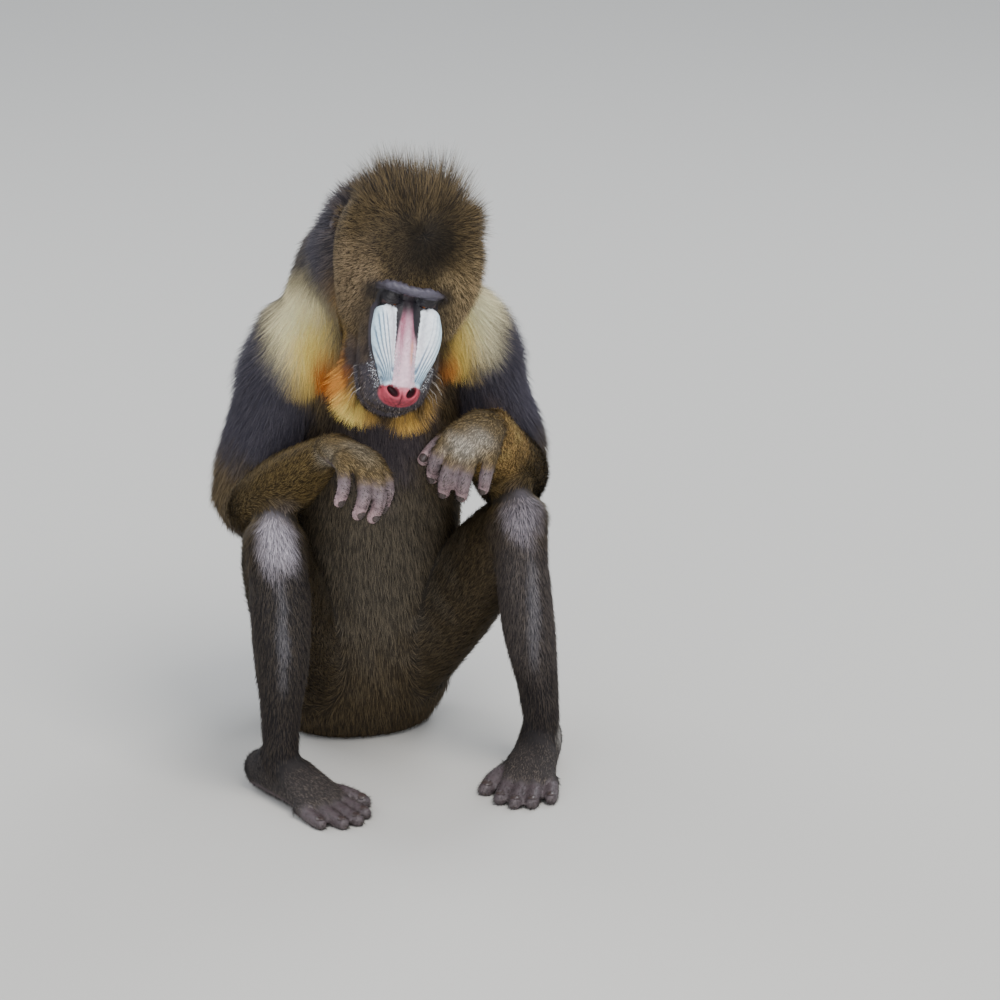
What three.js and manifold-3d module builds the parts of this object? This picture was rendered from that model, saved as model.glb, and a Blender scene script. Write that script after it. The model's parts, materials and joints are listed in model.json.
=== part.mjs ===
// A seated adult male mandrill, life size, in millimetres.
// The animal faces -Y, its left side is +X and up is +Z. The origin is on the floor, under the rump's middle.
// It sits on its rump and both feet, bows its head and holds both hands in front of the chest.
// Each body part is one closed solid in its own mesh. Where two parts meet they keep a gap of GAP.
// The outline is that of the coat. Long hair is built as flat, tapered locks, rooted in the part they grow from.
import * as THREE from "three";
import { mergeVertices } from "three/addons/utils/BufferGeometryUtils.js";
import Module from "manifold-3d";

const wasm = await Module();
wasm.setup();

// Driving sizes
const GAP = 0.3;
const FLOOR_CUT = 900;
const LIMB_SIDES = 12;
const DIGIT_SIDES = 6;
const BROW_AT = [4, -250, 597];
const HEAD_BOW = 68;
const HEAD_TILT = 11;

// A lock's rows of corners, from its root, as shares of its length and width. Its root lies LOCK_SINK deep.
// A thin edge grows by LOCK_EDGE times the gap, so that its sloping faces keep the gap. EAR_CLEAR keeps ears bare.
const LOCK_ROWS = [
  { share: 0, wide: 0.75 },
  { share: 0.42, wide: 1 },
  { share: 0.76, wide: 0.62 },
];
const LOCK_SINK = 5;
const LOCK_EDGE = 6;
const EAR_CLEAR = 32;

// Colours of the coat and the bare skin
const OLIVE = 0x4d4326;
const SLATE = 0x35343c;
const CREAM = 0xc9b877;
const AMBER = 0xd9912a;
const SOOT = 0x1d1b20;
const ROSE = 0xb9969a;
const DUSK = 0x6f5c5e;
const IRIS = 0x5a3214;

const radians = THREE.MathUtils.degToRad;
const vector = (p) => new THREE.Vector3(p[0], p[1], p[2]);

// Small repeatable random numbers, from 0 to 1
function seeded(start) {
  let state = start;
  return () => {
    state = (state * 16807) % 2147483647;
    return state / 2147483647;
  };
}

// A closed geometry as a solid that can be joined and cut
function solidOf(geometry) {
  const bare = geometry.clone();
  bare.deleteAttribute("normal");
  bare.deleteAttribute("uv");
  const merged = mergeVertices(bare, 1e-3);
  const build = (triVerts) =>
    new wasm.Manifold(
      new wasm.Mesh({ numProp: 3, vertProperties: merged.attributes.position.array, triVerts }),
    );
  const faces = new Uint32Array(merged.index.array);
  const made = build(faces);
  if (made.volume() > 0) return made;
  for (let i = 0; i < faces.length; i += 3) {
    [faces[i + 1], faces[i + 2]] = [faces[i + 2], faces[i + 1]];
  }
  return build(faces);
}

// A solid back as a geometry, keeping only its largest closed surface
function geometryOf(solid) {
  const bodies = solid.decompose();
  const largest = bodies.reduce((a, b) => (b.volume() > a.volume() ? b : a));
  const mesh = largest.getMesh();
  const places = new Float32Array(mesh.numVert * 3);
  for (let i = 0; i < mesh.numVert; i++) {
    places.set(mesh.vertProperties.subarray(i * mesh.numProp, i * mesh.numProp + 3), i * 3);
  }
  const geometry = new THREE.BufferGeometry();
  geometry.setAttribute("position", new THREE.BufferAttribute(places, 3));
  geometry.setIndex(new THREE.BufferAttribute(mesh.triVerts, 1));
  return geometry;
}

const join = (solids) => solids.reduce((a, b) => a.add(b));
const cutBy = (solid, tools) => tools.reduce((a, b) => a.subtract(b), solid);

// A closed body from rows of points, with a pole point at each end
function skinned(rows, first, last) {
  const sides = rows[0].length;
  const points = [first, ...rows.flat(), last];
  const end = points.length - 1;
  const faces = [];
  for (let j = 0; j < sides; j++) {
    const k = (j + 1) % sides;
    faces.push(0, 1 + k, 1 + j);
    for (let i = 0; i < rows.length - 1; i++) {
      const a = 1 + i * sides;
      const b = a + sides;
      faces.push(a + j, a + k, b + k, a + j, b + k, b + j);
    }
    const top = 1 + (rows.length - 1) * sides;
    faces.push(top + j, top + k, end);
  }
  const geometry = new THREE.BufferGeometry().setFromPoints(points);
  geometry.setIndex(faces);
  return geometry;
}

// A body lofted through stations [x, y, z, half width, half depth] along a smooth line.
// across is the direction of the width, boxy the squareness of the section, domes the length of each rounded
// end and rings the angles of the rings of corners on a dome.
class Loft {
  constructor(stations, options = {}) {
    const { sides = LIMB_SIDES, steps = 8, across = [1, 0, 0], boxy = 2 } = options;
    const { domes = [20, 20], rings = [68, 40] } = options;
    this.line = new THREE.CatmullRomCurve3(stations.map(vector), false, "catmullrom", 0.5);
    const sizes = stations.map((s) => new THREE.Vector3(s[3], s[4], 0));
    this.sizes = new THREE.CatmullRomCurve3(sizes, false, "catmullrom", 0.5);
    this.across = vector(across);
    Object.assign(this, { sides, steps, boxy, domes, rings });
  }

  // Middle, directions and half sizes of the section at share t of the length
  section(t, grow = 0) {
    const along = this.line.getTangent(t);
    const wide = this.across.clone().addScaledVector(along, -this.across.dot(along)).normalize();
    const deep = new THREE.Vector3().crossVectors(along, wide);
    const size = this.sizes.getPoint(t);
    return { middle: this.line.getPoint(t), along, wide, deep, w: size.x + grow, d: size.y + grow };
  }

  // A point on the surface. turn is the angle round the section, 0 along its width.
  spot(t, turn, grow = 0) {
    const s = this.section(t, grow);
    const c = Math.cos(turn);
    const n = Math.sin(turn);
    const power = 2 / this.boxy;
    const x = Math.sign(c) * Math.abs(c) ** power;
    const y = Math.sign(n) * Math.abs(n) ** power;
    return s.middle.addScaledVector(s.wide, x * s.w).addScaledVector(s.deep, y * s.d);
  }

  // A point on the surface, with the surface's outward normal there
  at(t, turn) {
    const step = 0.02;
    const round = this.spot(t, turn + step).sub(this.spot(t, turn - step));
    const along = this.spot(Math.min(t + step, 1), turn).sub(this.spot(Math.max(t - step, 0), turn));
    const point = this.spot(t, turn);
    return { point, normal: new THREE.Vector3().crossVectors(round, along).normalize() };
  }

  geometry(grow = 0) {
    const rows = [];
    const ring = (t, scale, shift) => {
      const s = this.section(t, grow);
      const row = [];
      for (let j = 0; j < this.sides; j++) {
        const p = this.spot(t, (2 * Math.PI * j) / this.sides, grow);
        row.push(p.sub(s.middle).multiplyScalar(scale).add(s.middle).addScaledVector(s.along, shift));
      }
      return row;
    };
    const dome = (t, length, sign) =>
      this.rings.map((a) => ring(t, Math.cos(radians(a)), sign * length * Math.sin(radians(a))));
    const [low, high] = this.domes;
    if (low > 0) rows.push(...dome(0, low + grow, -1));
    for (let i = 0; i <= this.steps; i++) rows.push(ring(i / this.steps, 1, 0));
    if (high > 0) rows.push(...dome(1, high + grow, 1).reverse());
    const pole = (t, length, sign) => {
      const s = this.section(t);
      const reach = length > 0 ? length + grow : 0;
      return s.middle.clone().addScaledVector(s.along, sign * reach);
    };
    return skinned(rows, pole(0, low, -1), pole(1, high, 1));
  }

  solid(grow = 0) {
    return solidOf(this.geometry(grow));
  }
}

// An ellipsoid at a place, with its half sizes
function ellipsoid(at, half, { sides = 16, rows = 10, turn = [0, 0, 0], grow = 0 } = {}) {
  const geometry = new THREE.SphereGeometry(1, sides, rows);
  geometry.scale(half[0] + grow, half[1] + grow, half[2] + grow);
  geometry.applyMatrix4(new THREE.Matrix4().makeRotationFromEuler(new THREE.Euler(...turn.map(radians))));
  geometry.translate(...at);
  return solidOf(geometry);
}

// One flat, tapered lock of hair. It is rooted below the surface, rises from it and bends over along its lie.
function lock({ point, normal, lie, length, width, thick, rise, fall, grow = 0 }) {
  const flow = lie.clone().addScaledVector(normal, -lie.dot(normal)).normalize();
  const side = new THREE.Vector3().crossVectors(normal, flow);
  const heading = (share) => {
    const angle = radians(rise + (fall - rise) * share);
    return flow.clone().multiplyScalar(Math.cos(angle)).addScaledVector(normal, Math.sin(angle));
  };
  const edge = grow * LOCK_EDGE;
  let place = point.clone().addScaledVector(normal, -LOCK_SINK).addScaledVector(flow, -LOCK_SINK - grow);
  let before = 0;
  const rows = LOCK_ROWS.map(({ share, wide }) => {
    place = place.clone().addScaledVector(heading((share + before) / 2), (share - before) * length);
    before = share;
    const up = new THREE.Vector3().crossVectors(heading(share), side);
    const half = (width / 2) * wide + edge;
    return [
      place.clone().addScaledVector(side, half).addScaledVector(up, -grow),
      place.clone().addScaledVector(up, thick * wide + grow * 1.2),
      place.clone().addScaledVector(side, -half).addScaledVector(up, -grow),
    ];
  });
  const tip = place.clone().addScaledVector(heading(0.9), (1 - before) * length + edge);
  const foot = rows[0].reduce((p, q) => p.clone().add(q)).multiplyScalar(1 / 3);
  return solidOf(skinned(rows, foot, tip));
}

// Locks over a loft, in staggered rows. Each row gives its place along the loft, the arc that it covers in
// degrees and the form of its locks. lieAt gives the hair's way at a point, and grows tells where it grows.
function locksOver(loft, rows, { seed, lieAt, grows = () => true }, grow = 0) {
  const random = seeded(seed);
  const locks = [];
  rows.forEach(({ t, from, to, count, length, width = 24, thick = 7, rise, fall }, row) => {
    for (let i = 0; i < count; i++) {
      const stagger = row % 2 ? 0.2 : -0.2;
      const share = (i + 0.5 + stagger + (random() - 0.5) * 0.3) / count;
      const place = loft.at(Math.min(t + (random() - 0.5) * 0.02, 1), radians(from + (to - from) * share));
      const vary = 0.88 + random() * 0.24;
      const lean = (random() - 0.5) * 8;
      if (!grows(place.point)) continue;
      const form = { length: length * vary, width, thick, rise: rise + lean, fall: fall + lean / 2 };
      locks.push(lock({ ...place, ...form, lie: lieAt(place.point), grow }));
    }
  });
  return locks;
}

// Trunk: rump, belly and chest are one loft, parted by two level cuts. The chest leans forward over the knees.
const TRUNK = new Loft(
  [
    [0, 4, 2, 84, 66],
    [0, 0, 62, 112, 96],
    [0, -2, 150, 117, 108],
    [0, -12, 250, 116, 110],
    [0, -36, 345, 114, 108],
    [0, -64, 430, 110, 99],
    [0, -84, 500, 105, 88],
    [-2, -92, 552, 97, 75],
    [-4, -94, 596, 79, 61],
    [-4, -98, 624, 54, 42],
  ],
  { sides: 22, steps: 13, domes: [14, 18], boxy: 2.2 },
);
const BELLY_FROM = 175;
const CHEST_FROM = 345;

// Neck: from between the shoulders to the back of the skull
const NECK = new Loft(
  [
    [-2, -92, 520, 76, 66],
    [-4, -110, 574, 74, 68],
    [-4, -138, 614, 66, 60],
    [0, -162, 634, 58, 52],
  ],
  { sides: 16, steps: 4, domes: [0, 10], rings: [45] },
);

// Short stub of a tail, held up behind the rump
const TAIL = new Loft(
  [
    [0, 92, 112, 21, 20],
    [0, 118, 136, 17, 16],
    [0, 128, 164, 13, 12],
  ],
  { sides: 8, steps: 4, domes: [0, 14] },
);

// Arms: each upper arm ends in the round of the elbow, and the forearm starts against it
const ARMS = {
  right: {
    upper: [
      [-66, -84, 512, 36, 46],
      [-88, -92, 470, 41, 52],
      [-113, -90, 412, 42, 49],
      [-134, -80, 355, 41, 45],
      [-143, -70, 312, 39, 40],
    ],
    fore: [
      [-143, -78, 304, 38, 38],
      [-133, -122, 322, 41, 40],
      [-110, -172, 365, 36, 34],
      [-83, -216, 408, 26, 21],
    ],
    hand: { wrist: [-79, -220, 413], along: [0.4, -0.91, -0.12], back: [0.26, -0.02, 0.97], inward: 1 },
  },
  left: {
    upper: [
      [72, -84, 516, 38, 46],
      [106, -94, 474, 44, 52],
      [133, -92, 412, 43, 49],
      [154, -82, 356, 42, 45],
      [159, -74, 316, 40, 41],
    ],
    fore: [
      [158, -82, 310, 39, 39],
      [148, -122, 330, 44, 43],
      [118, -176, 374, 39, 38],
      [96, -224, 424, 27, 22],
    ],
    hand: { wrist: [93, -229, 428], along: [-0.6, -0.77, -0.2], back: [0.08, -0.31, 0.95], inward: -1 },
  },
};
const DIGIT_ROOT = 14;
const DIGIT_JOINTS = [
  { share: 0.3, wide: 1 },
  { share: 0.42, wide: 1.04 },
  { share: 0.3, wide: 0.98 },
  { share: 0.26, wide: 0.86 },
];
const FINGERS = [
  { x: -25, y: 52, length: 44, thick: 7.6, spread: -9 },
  { x: -9, y: 60, length: 54, thick: 8.2, spread: -3 },
  { x: 8, y: 61, length: 57, thick: 8.4, spread: 2 },
  { x: 24, y: 55, length: 50, thick: 8, spread: 8 },
];
const FINGER_CURL = [10, 44, 80, 104];
const THUMB = { x: 22, y: 30, length: 44, thick: 8.6, spread: 34 };
const THUMB_CURL = [16, 30, 42, 50];

// Legs: each thigh ends in the round of the knee, and the shin starts against it
const LEGS = {
  right: {
    thigh: [
      [-60, -34, 110, 56, 72],
      [-94, -84, 176, 50, 62],
      [-122, -138, 246, 43, 52],
      [-136, -180, 298, 37, 38],
    ],
    shin: [
      [-136, -190, 282, 35, 36],
      [-136, -202, 236, 36, 39],
      [-136, -206, 170, 33, 40],
      [-137, -204, 104, 25, 29],
      [-138, -202, 58, 23, 27],
      [-138, -202, 34, 22, 26],
    ],
    foot: { ankle: [-138, -198, 0], along: [0.46, -0.888, 0], inward: 1 },
  },
  left: {
    thigh: [
      [60, -34, 110, 56, 72],
      [94, -88, 176, 50, 62],
      [124, -144, 246, 43, 52],
      [142, -186, 298, 36, 38],
    ],
    shin: [
      [140, -196, 284, 33, 36],
      [140, -206, 240, 32, 38],
      [147, -209, 170, 31, 40],
      [158, -205, 104, 25, 29],
      [163, -200, 58, 23, 27],
      [163, -198, 34, 22, 26],
    ],
    foot: { ankle: [163, -194, 0], along: [-0.42, -0.907, 0], inward: -1 },
  },
};
const TOES = [
  { x: -24, y: 72, length: 38, thick: 8.2, spread: -8 },
  { x: -9, y: 82, length: 42, thick: 8.8, spread: -3 },
  { x: 6, y: 84, length: 43, thick: 9, spread: 1 },
  { x: 21, y: 79, length: 40, thick: 9, spread: 5 },
];
const TOE_CURL = [-4, 8, 6, 2];
const BIG_TOE = { x: 25, y: 46, length: 48, thick: 11, spread: 20 };
const BIG_TOE_CURL = [0, 2, 8, 12];

// Head frame: the brow is its origin, the bridge of the nose runs along -Y and the crown lies along +Y
const HEAD = new THREE.Matrix4()
  .makeTranslation(...BROW_AT)
  .multiply(new THREE.Matrix4().makeRotationY(radians(HEAD_TILT)))
  .multiply(new THREE.Matrix4().makeRotationX(radians(HEAD_BOW)));

// Skull and cheeks with their coat, from the throat up to the tips of the crest
const CROWN = new Loft(
  [
    [0, -50, -66, 50, 29],
    [0, -20, -58, 67, 39],
    [0, 20, -44, 76, 49],
    [0, 60, -40, 74, 49],
    [2, 92, -38, 60, 42],
    [2, 110, -37, 38, 27],
  ],
  { sides: 20, steps: 9, domes: [16, 8], rings: [50] },
);
const BROW = new Loft(
  [
    [-39, 4, -12, 7, 8],
    [-21, 0, 2, 8, 8],
    [0, 2, 3, 8, 8],
    [21, 0, 2, 8, 8],
    [39, 4, -12, 7, 8],
  ],
  { sides: 10, steps: 8, across: [0, 1, 0], domes: [6, 6] },
);

// Muzzle: a boxy block from the cheeks to the nose, with a long swelling each side of the nose's bridge
const MUZZLE = new Loft(
  [
    [0, -4, -42, 36, 22],
    [0, -24, -34, 41, 28],
    [0, -58, -35, 42, 29],
    [0, -90, -38, 42, 28],
    [0, -114, -42, 38, 24],
  ],
  { sides: 20, steps: 7, domes: [0, 18], boxy: 2.4 },
);
const RIDGE_TOP = -18;
const RIDGE_END = -95;
const RIDGES = [-1, 1].map(
  (side) =>
    new Loft(
      [
        [side * 25, RIDGE_TOP - 7, -11, 15, 15],
        [side * 25.5, RIDGE_TOP - 30, -9, 15, 15],
        [side * 22.5, RIDGE_TOP - 54, -11, 13, 13],
        [side * 17.5, RIDGE_END, -14, 8, 9],
      ],
      { sides: 12, steps: 6, domes: [9, 7] },
    ),
);
const NOSE = new Loft(
  [
    [0, -2, -8, 9, 9],
    [0, -36, -8, 8, 8],
    [0, -74, -10, 10, 9],
    [0, -104, -13, 15, 12],
  ],
  { sides: 10, steps: 4, domes: [6, 8] },
);
const NOSE_PAD = { at: [0, -112, -19], half: [22, 14, 15] };
const NOSTRIL = { at: [10, -114, -5], half: [4.4, 7.5, 8], turn: -30 };

// Lower jaw, from the throat to the chin
const JAW = new Loft(
  [
    [0, 14, -84, 40, 24],
    [0, -20, -79, 38, 22],
    [0, -58, -75, 37, 18],
    [0, -90, -73, 36, 15],
    [0, -112, -71, 31, 13],
  ],
  { sides: 18, steps: 6, domes: [0, 12], boxy: 2.3 },
);
const EYE_AT = [20, -11, -12];
const EYE_RADIUS = 9.5;
const LID_RADIUS = 12;
const GAZE = [-48, 0, 0];
const SLIT = { at: [20, -20, -4], half: [9.5, 9, 2.6] };
const LIP_LINE = [
  [40, -50],
  [41, -86],
  [35, -114],
  [18, -128],
  [0, -131],
];
const LIPS = { upper: { z: -57, thick: 6 }, lower: { z: -68, thick: 5 } };
const EAR = {
  at: [78, 80, -50],
  half: [8, 17, 23],
  cupAt: [84, 77, -50],
  cup: [8, 13, 18.5],
  turn: [-32, 0, 22],
};

// Long coat, as rows of locks over the lofts. An arc is in degrees round the section, from the loft's width.
const mirrored = (place, side) => [place[0] * side, place[1], place[2]];
const clearOfEars = (p) => p.distanceTo(vector(mirrored(EAR.at, Math.sign(p.x)))) > EAR_CLEAR;
const CREST = {
  seed: 11,
  lieAt: (p) => new THREE.Vector3(p.x / 150, 1, -0.1),
  grows: clearOfEars,
  rows: [
    { t: 0.48, from: 218, to: 322, count: 4, length: 54, width: 38, rise: 12, fall: -2 },
    { t: 0.64, from: 198, to: 342, count: 6, length: 60, width: 34, rise: 13, fall: 6 },
    { t: 0.8, from: 185, to: 355, count: 6, length: 60, width: 34, rise: 18, fall: 22 },
    { t: 0.92, from: 20, to: 380, count: 7, length: 54, width: 32, rise: 24, fall: 34 },
    { t: 1, from: 180, to: 360, count: 3, length: 50, width: 26, rise: 34, fall: 52 },
  ],
};
const CHEEKS = [0, 180].map((middle) => ({
  seed: 23 + middle,
  lieAt: (p) => new THREE.Vector3(p.x / 200, -0.5 + p.y / 90, -1),
  grows: clearOfEars,
  rows: [
    { t: 0.05, from: middle - 40, to: middle + 40, count: 3, length: 50, width: 30, rise: 16, fall: 0 },
    { t: 0.26, from: middle - 50, to: middle + 36, count: 3, length: 56, width: 36, rise: 13, fall: 0 },
    { t: 0.44, from: middle - 50, to: middle - 20, count: 1, length: 52, width: 34, rise: 10, fall: 0 },
  ],
}));
const BEARD = {
  seed: 37,
  lieAt: (p) => new THREE.Vector3(p.x / 60, -0.8, -0.5),
  rows: [
    { t: 0.3, from: 185, to: 355, count: 3, length: 88, width: 40, rise: 22, fall: 12 },
    { t: 0.76, from: 200, to: 340, count: 3, length: 58, width: 32, rise: 24, fall: 26 },
  ],
};
const NAPE = {
  seed: 41,
  lieAt: (p) => new THREE.Vector3(p.x / 120, 1, -0.9),
  rows: [{ t: 0.9, from: 30, to: 150, count: 4, length: 74, width: 42, rise: 14, fall: -4 }],
};
const MANTLE = {
  seed: 53,
  lieAt: (p) => new THREE.Vector3(p.x / 110, 0, -1),
  rows: [
    { t: 0.91, from: -50, to: 230, count: 7, length: 82, width: 42, thick: 8, rise: 12, fall: -10 },
    { t: 0.79, from: -56, to: 236, count: 7, length: 88, width: 44, thick: 8, rise: 10, fall: -5 },
    { t: 0.66, from: -50, to: 230, count: 7, length: 88, width: 46, thick: 8, rise: 10, fall: -2 },
  ],
};
const SHOULDERS = [0, 180].map((middle) => ({
  seed: 67 + middle,
  lieAt: () => new THREE.Vector3(0, 0, -1),
  rows: [
    { t: 0.06, from: middle - 62, to: middle + 66, count: 4, length: 76, width: 36, rise: 8, fall: -4 },
    { t: 0.34, from: middle - 55, to: middle + 60, count: 2, length: 78, width: 44, rise: 8, fall: 0 },
  ],
}));
const TUFT = {
  seed: 71,
  lieAt: () => new THREE.Vector3(0, 0.3, 1),
  rows: [{ t: 0.75, from: 0, to: 360, count: 4, length: 42, width: 16, thick: 5, rise: 12, fall: 6 }],
};

// A box below the floor, which cuts the flats that the animal rests on
const floorBox = () => {
  const box = new THREE.BoxGeometry(FLOOR_CUT, FLOOR_CUT * 2, FLOOR_CUT);
  box.translate(0, 0, -FLOOR_CUT / 2);
  return solidOf(box);
};
const FLOOR = floorBox();

// Keeps what lies ahead of a plane, half a gap in from it
const ahead = (solid, at, normal) => {
  const n = vector(normal).normalize();
  return solid.trimByPlane(n.toArray(), n.dot(vector(at)) + GAP / 2);
};
const behind = (solid, at, normal) => ahead(solid, at, normal.map((x) => -x));
const level = [0, 0, 1];

// A frame at a hand or foot: X towards the thumb or big toe, Y along the digits, Z out of its back
function limbFrame(at, along, back, inward) {
  const y = vector(along).normalize();
  const z = vector(back).addScaledVector(y, -vector(back).dot(y)).normalize();
  const x = new THREE.Vector3().crossVectors(y, z).multiplyScalar(-inward);
  return new THREE.Matrix4().makeBasis(x, y, z).setPosition(...at);
}
const moved = (solid, matrix) => solid.transform(matrix.elements);

// One finger or toe: it leaves the palm or sole along Y and curls down at its joints
function digit({ x, y, length, thick, spread }, z, curl, steps, grow = 0) {
  let place = new THREE.Vector3(x, y - DIGIT_ROOT, z);
  const stations = [[...place.toArray(), thick, thick]];
  DIGIT_JOINTS.forEach(({ share, wide }, i) => {
    const way = new THREE.Vector3(0, Math.cos(radians(curl[i])), -Math.sin(radians(curl[i])));
    way.applyAxisAngle(new THREE.Vector3(0, 0, -1), radians(spread));
    place = place.clone().addScaledVector(way, share * length);
    stations.push([...place.toArray(), thick * wide, thick * wide]);
  });
  return new Loft(stations, { sides: DIGIT_SIDES, steps, domes: [0, thick * 0.7], rings: [48] }).solid(grow);
}

function handSolid({ wrist, along, back, inward }, grow = 0) {
  const palm = new Loft(
    [
      [0, -4, 0, 25, 18],
      [0, 16, 0, 28, 17],
      [1, 40, 1, 34, 16],
      [0, 54, 0, 33, 12],
    ],
    { sides: 10, steps: 3, domes: [0, 9], rings: [48] },
  );
  const fingers = FINGERS.map((finger) => digit(finger, 0, FINGER_CURL, 4, grow));
  const whole = join([palm.solid(grow), digit(THUMB, -7, THUMB_CURL, 3, grow), ...fingers]);
  return moved(whole, limbFrame(wrist, along, back, inward));
}

function footSolid({ ankle, along, inward }, grow = 0) {
  const sole = new Loft(
    [
      [0, -34, 21, 20, 22],
      [0, -14, 27, 24, 29],
      [1, 16, 25, 26, 27],
      [2, 50, 18, 30, 20],
      [0, 78, 12, 32, 14],
    ],
    { sides: 12, steps: 5, domes: [13, 8], rings: [48], boxy: 2.3 },
  );
  const toes = TOES.map((toe) => digit(toe, 9, TOE_CURL, 3, grow));
  const whole = join([sole.solid(grow), digit(BIG_TOE, 10, BIG_TOE_CURL, 3, grow), ...toes]);
  return moved(whole, limbFrame(ankle, along, level, inward)).subtract(FLOOR);
}

const local = (solid) => moved(solid, HEAD);
const ball = (side, radius, grow = 0) =>
  ellipsoid(mirrored(EYE_AT, side), [radius, radius, radius], { sides: 12, rows: 7, grow });
const eyeSlit = (side) => ellipsoid(mirrored(SLIT.at, side), SLIT.half, { sides: 12, rows: 8, turn: GAZE });

const lip = ({ z, thick }, grow) => {
  const line = [...LIP_LINE, ...LIP_LINE.slice(0, -1).reverse().map(([x, y]) => [-x, y])];
  const stations = line.map(([x, y]) => [x, y, z, thick, thick]);
  return new Loft(stations, { sides: 5, steps: 8, across: level, domes: [6, 6], rings: [45] }).solid(grow);
};

const muzzleForms = (grow) => {
  const pad = ellipsoid(NOSE_PAD.at, NOSE_PAD.half, { sides: 12, rows: 7, grow });
  return join([MUZZLE, ...RIDGES, NOSE].map((loft) => loft.solid(grow))).add(lip(LIPS.upper, grow)).add(pad);
};
const nostril = (side) =>
  ellipsoid(mirrored(NOSTRIL.at, side), NOSTRIL.half, {
    sides: 10,
    rows: 6,
    turn: [0, 0, NOSTRIL.turn * side],
  });
const skullForms = (grow) => join([CROWN.solid(grow), BROW.solid(grow)]);
const earTurn = (side) => [EAR.turn[0], EAR.turn[1], EAR.turn[2] * side];
const earShell = (side, grow = 0) =>
  ellipsoid(mirrored(EAR.at, side), EAR.half, { sides: 10, rows: 6, turn: earTurn(side), grow });
const earCup = (side) =>
  ellipsoid(mirrored(EAR.cupAt, side), EAR.cup, { sides: 10, rows: 6, turn: earTurn(side) });

const jawForms = (grow) => JAW.solid(grow).add(lip(LIPS.lower, grow));
const coatOf = (loft, coat, grow = 0) => join(locksOver(loft, coat.rows, coat, grow));
const headCoat = (grow) => join([CREST, ...CHEEKS].map((coat) => coatOf(CROWN, coat, grow)));

const nodes = new Map();
const keep = (name, solid, colour, roughness = 0.9) => nodes.set(name, { solid, colour, roughness });

// Rump, belly and tail
const trunk = TRUNK.solid().subtract(FLOOR);
const trunkSpace = TRUNK.solid(GAP);
const tail = TAIL.solid().add(coatOf(TAIL, TUFT));
keep("rump", behind(trunk, [0, 0, BELLY_FROM], level), OLIVE);
keep("belly", behind(ahead(trunk, [0, 0, BELLY_FROM], level), [0, 0, CHEST_FROM], level), OLIVE);
keep("tail", tail.subtract(trunkSpace), OLIVE);

// Head, ears, muzzle and eyes. The back of the head is hollowed for the end of the neck.
const sides = { right: -1, left: 1 };
const both = Object.values(sides);
const neckSpace = NECK.solid(GAP);
const skullSpace = skullForms(GAP);
const muzzleSpace = muzzleForms(GAP);
const earSpaces = both.map((side) => earShell(side, GAP));
const lidSpaces = both.map((side) => ball(side, LID_RADIUS, GAP));
const eyeSpaces = both.map((side) => ball(side, EYE_RADIUS, GAP));
const lids = both.map((side) => ball(side, LID_RADIUS));
const skull = cutBy(join([skullForms(0), ...lids]), [...eyeSpaces, ...both.map(eyeSlit)]);
const headHair = cutBy(headCoat(0), [muzzleSpace, jawForms(GAP), ...earSpaces]);
keep("head", cutBy(local(skull.add(headHair)), [trunkSpace, neckSpace]), OLIVE);
keep("muzzle", local(cutBy(muzzleForms(0), [skullSpace, ...lidSpaces, ...both.map(nostril)])), SOOT);
for (const [name, side] of Object.entries(sides)) {
  keep("ear_" + name, local(cutBy(earShell(side), [earCup(side), skullSpace])).subtract(neckSpace), DUSK);
  keep("eye_" + name, local(ball(side, EYE_RADIUS)), IRIS, 0.15);
}
const headSpace = local(skullSpace.add(headCoat(GAP)));

// Arms, hands, legs and feet. The forearms rest on the thighs.
const armSpaces = [];
const handSpaces = [];
for (const side of ["right", "left"]) {
  const arm = ARMS[side];
  const leg = LEGS[side];
  const thigh = new Loft(leg.thigh, { steps: 6, domes: [30, 30] });
  const shin = new Loft(leg.shin, { steps: 8, domes: [16, 0] });
  const upper = new Loft(arm.upper, { steps: 6, across: [1, 0.2, 0], domes: [26, 30] });
  const fore = new Loft(arm.fore, { steps: 6, across: [1, 0.6, 0], domes: [20, 0] });
  const shinSolid = cutBy(shin.solid(), [thigh.solid(GAP), footSolid(leg.foot, GAP)]);
  const underArm = [trunkSpace, thigh.solid(GAP), shin.solid(GAP)];
  keep("thigh_" + side, thigh.solid().subtract(trunkSpace), OLIVE);
  keep("shin_" + side, shinSolid, SLATE);
  keep("foot_" + side, footSolid(leg.foot), SLATE);
  const armHair = (grow) => coatOf(upper, SHOULDERS[side === "left" ? 0 : 1], grow);
  const upperForms = upper.solid().add(armHair(0).subtract(fore.solid(GAP)));
  keep("upper_arm_" + side, cutBy(upperForms, underArm), SLATE);
  keep("forearm_" + side, cutBy(fore.solid(), [upper.solid(GAP), ...underArm]), OLIVE);
  keep("hand_" + side, cutBy(handSolid(arm.hand), [fore.solid(GAP), ...underArm]), ROSE);
  armSpaces.push(upper.solid(GAP), armHair(GAP), fore.solid(GAP));
  handSpaces.push(handSolid(arm.hand, GAP));
}

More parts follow.
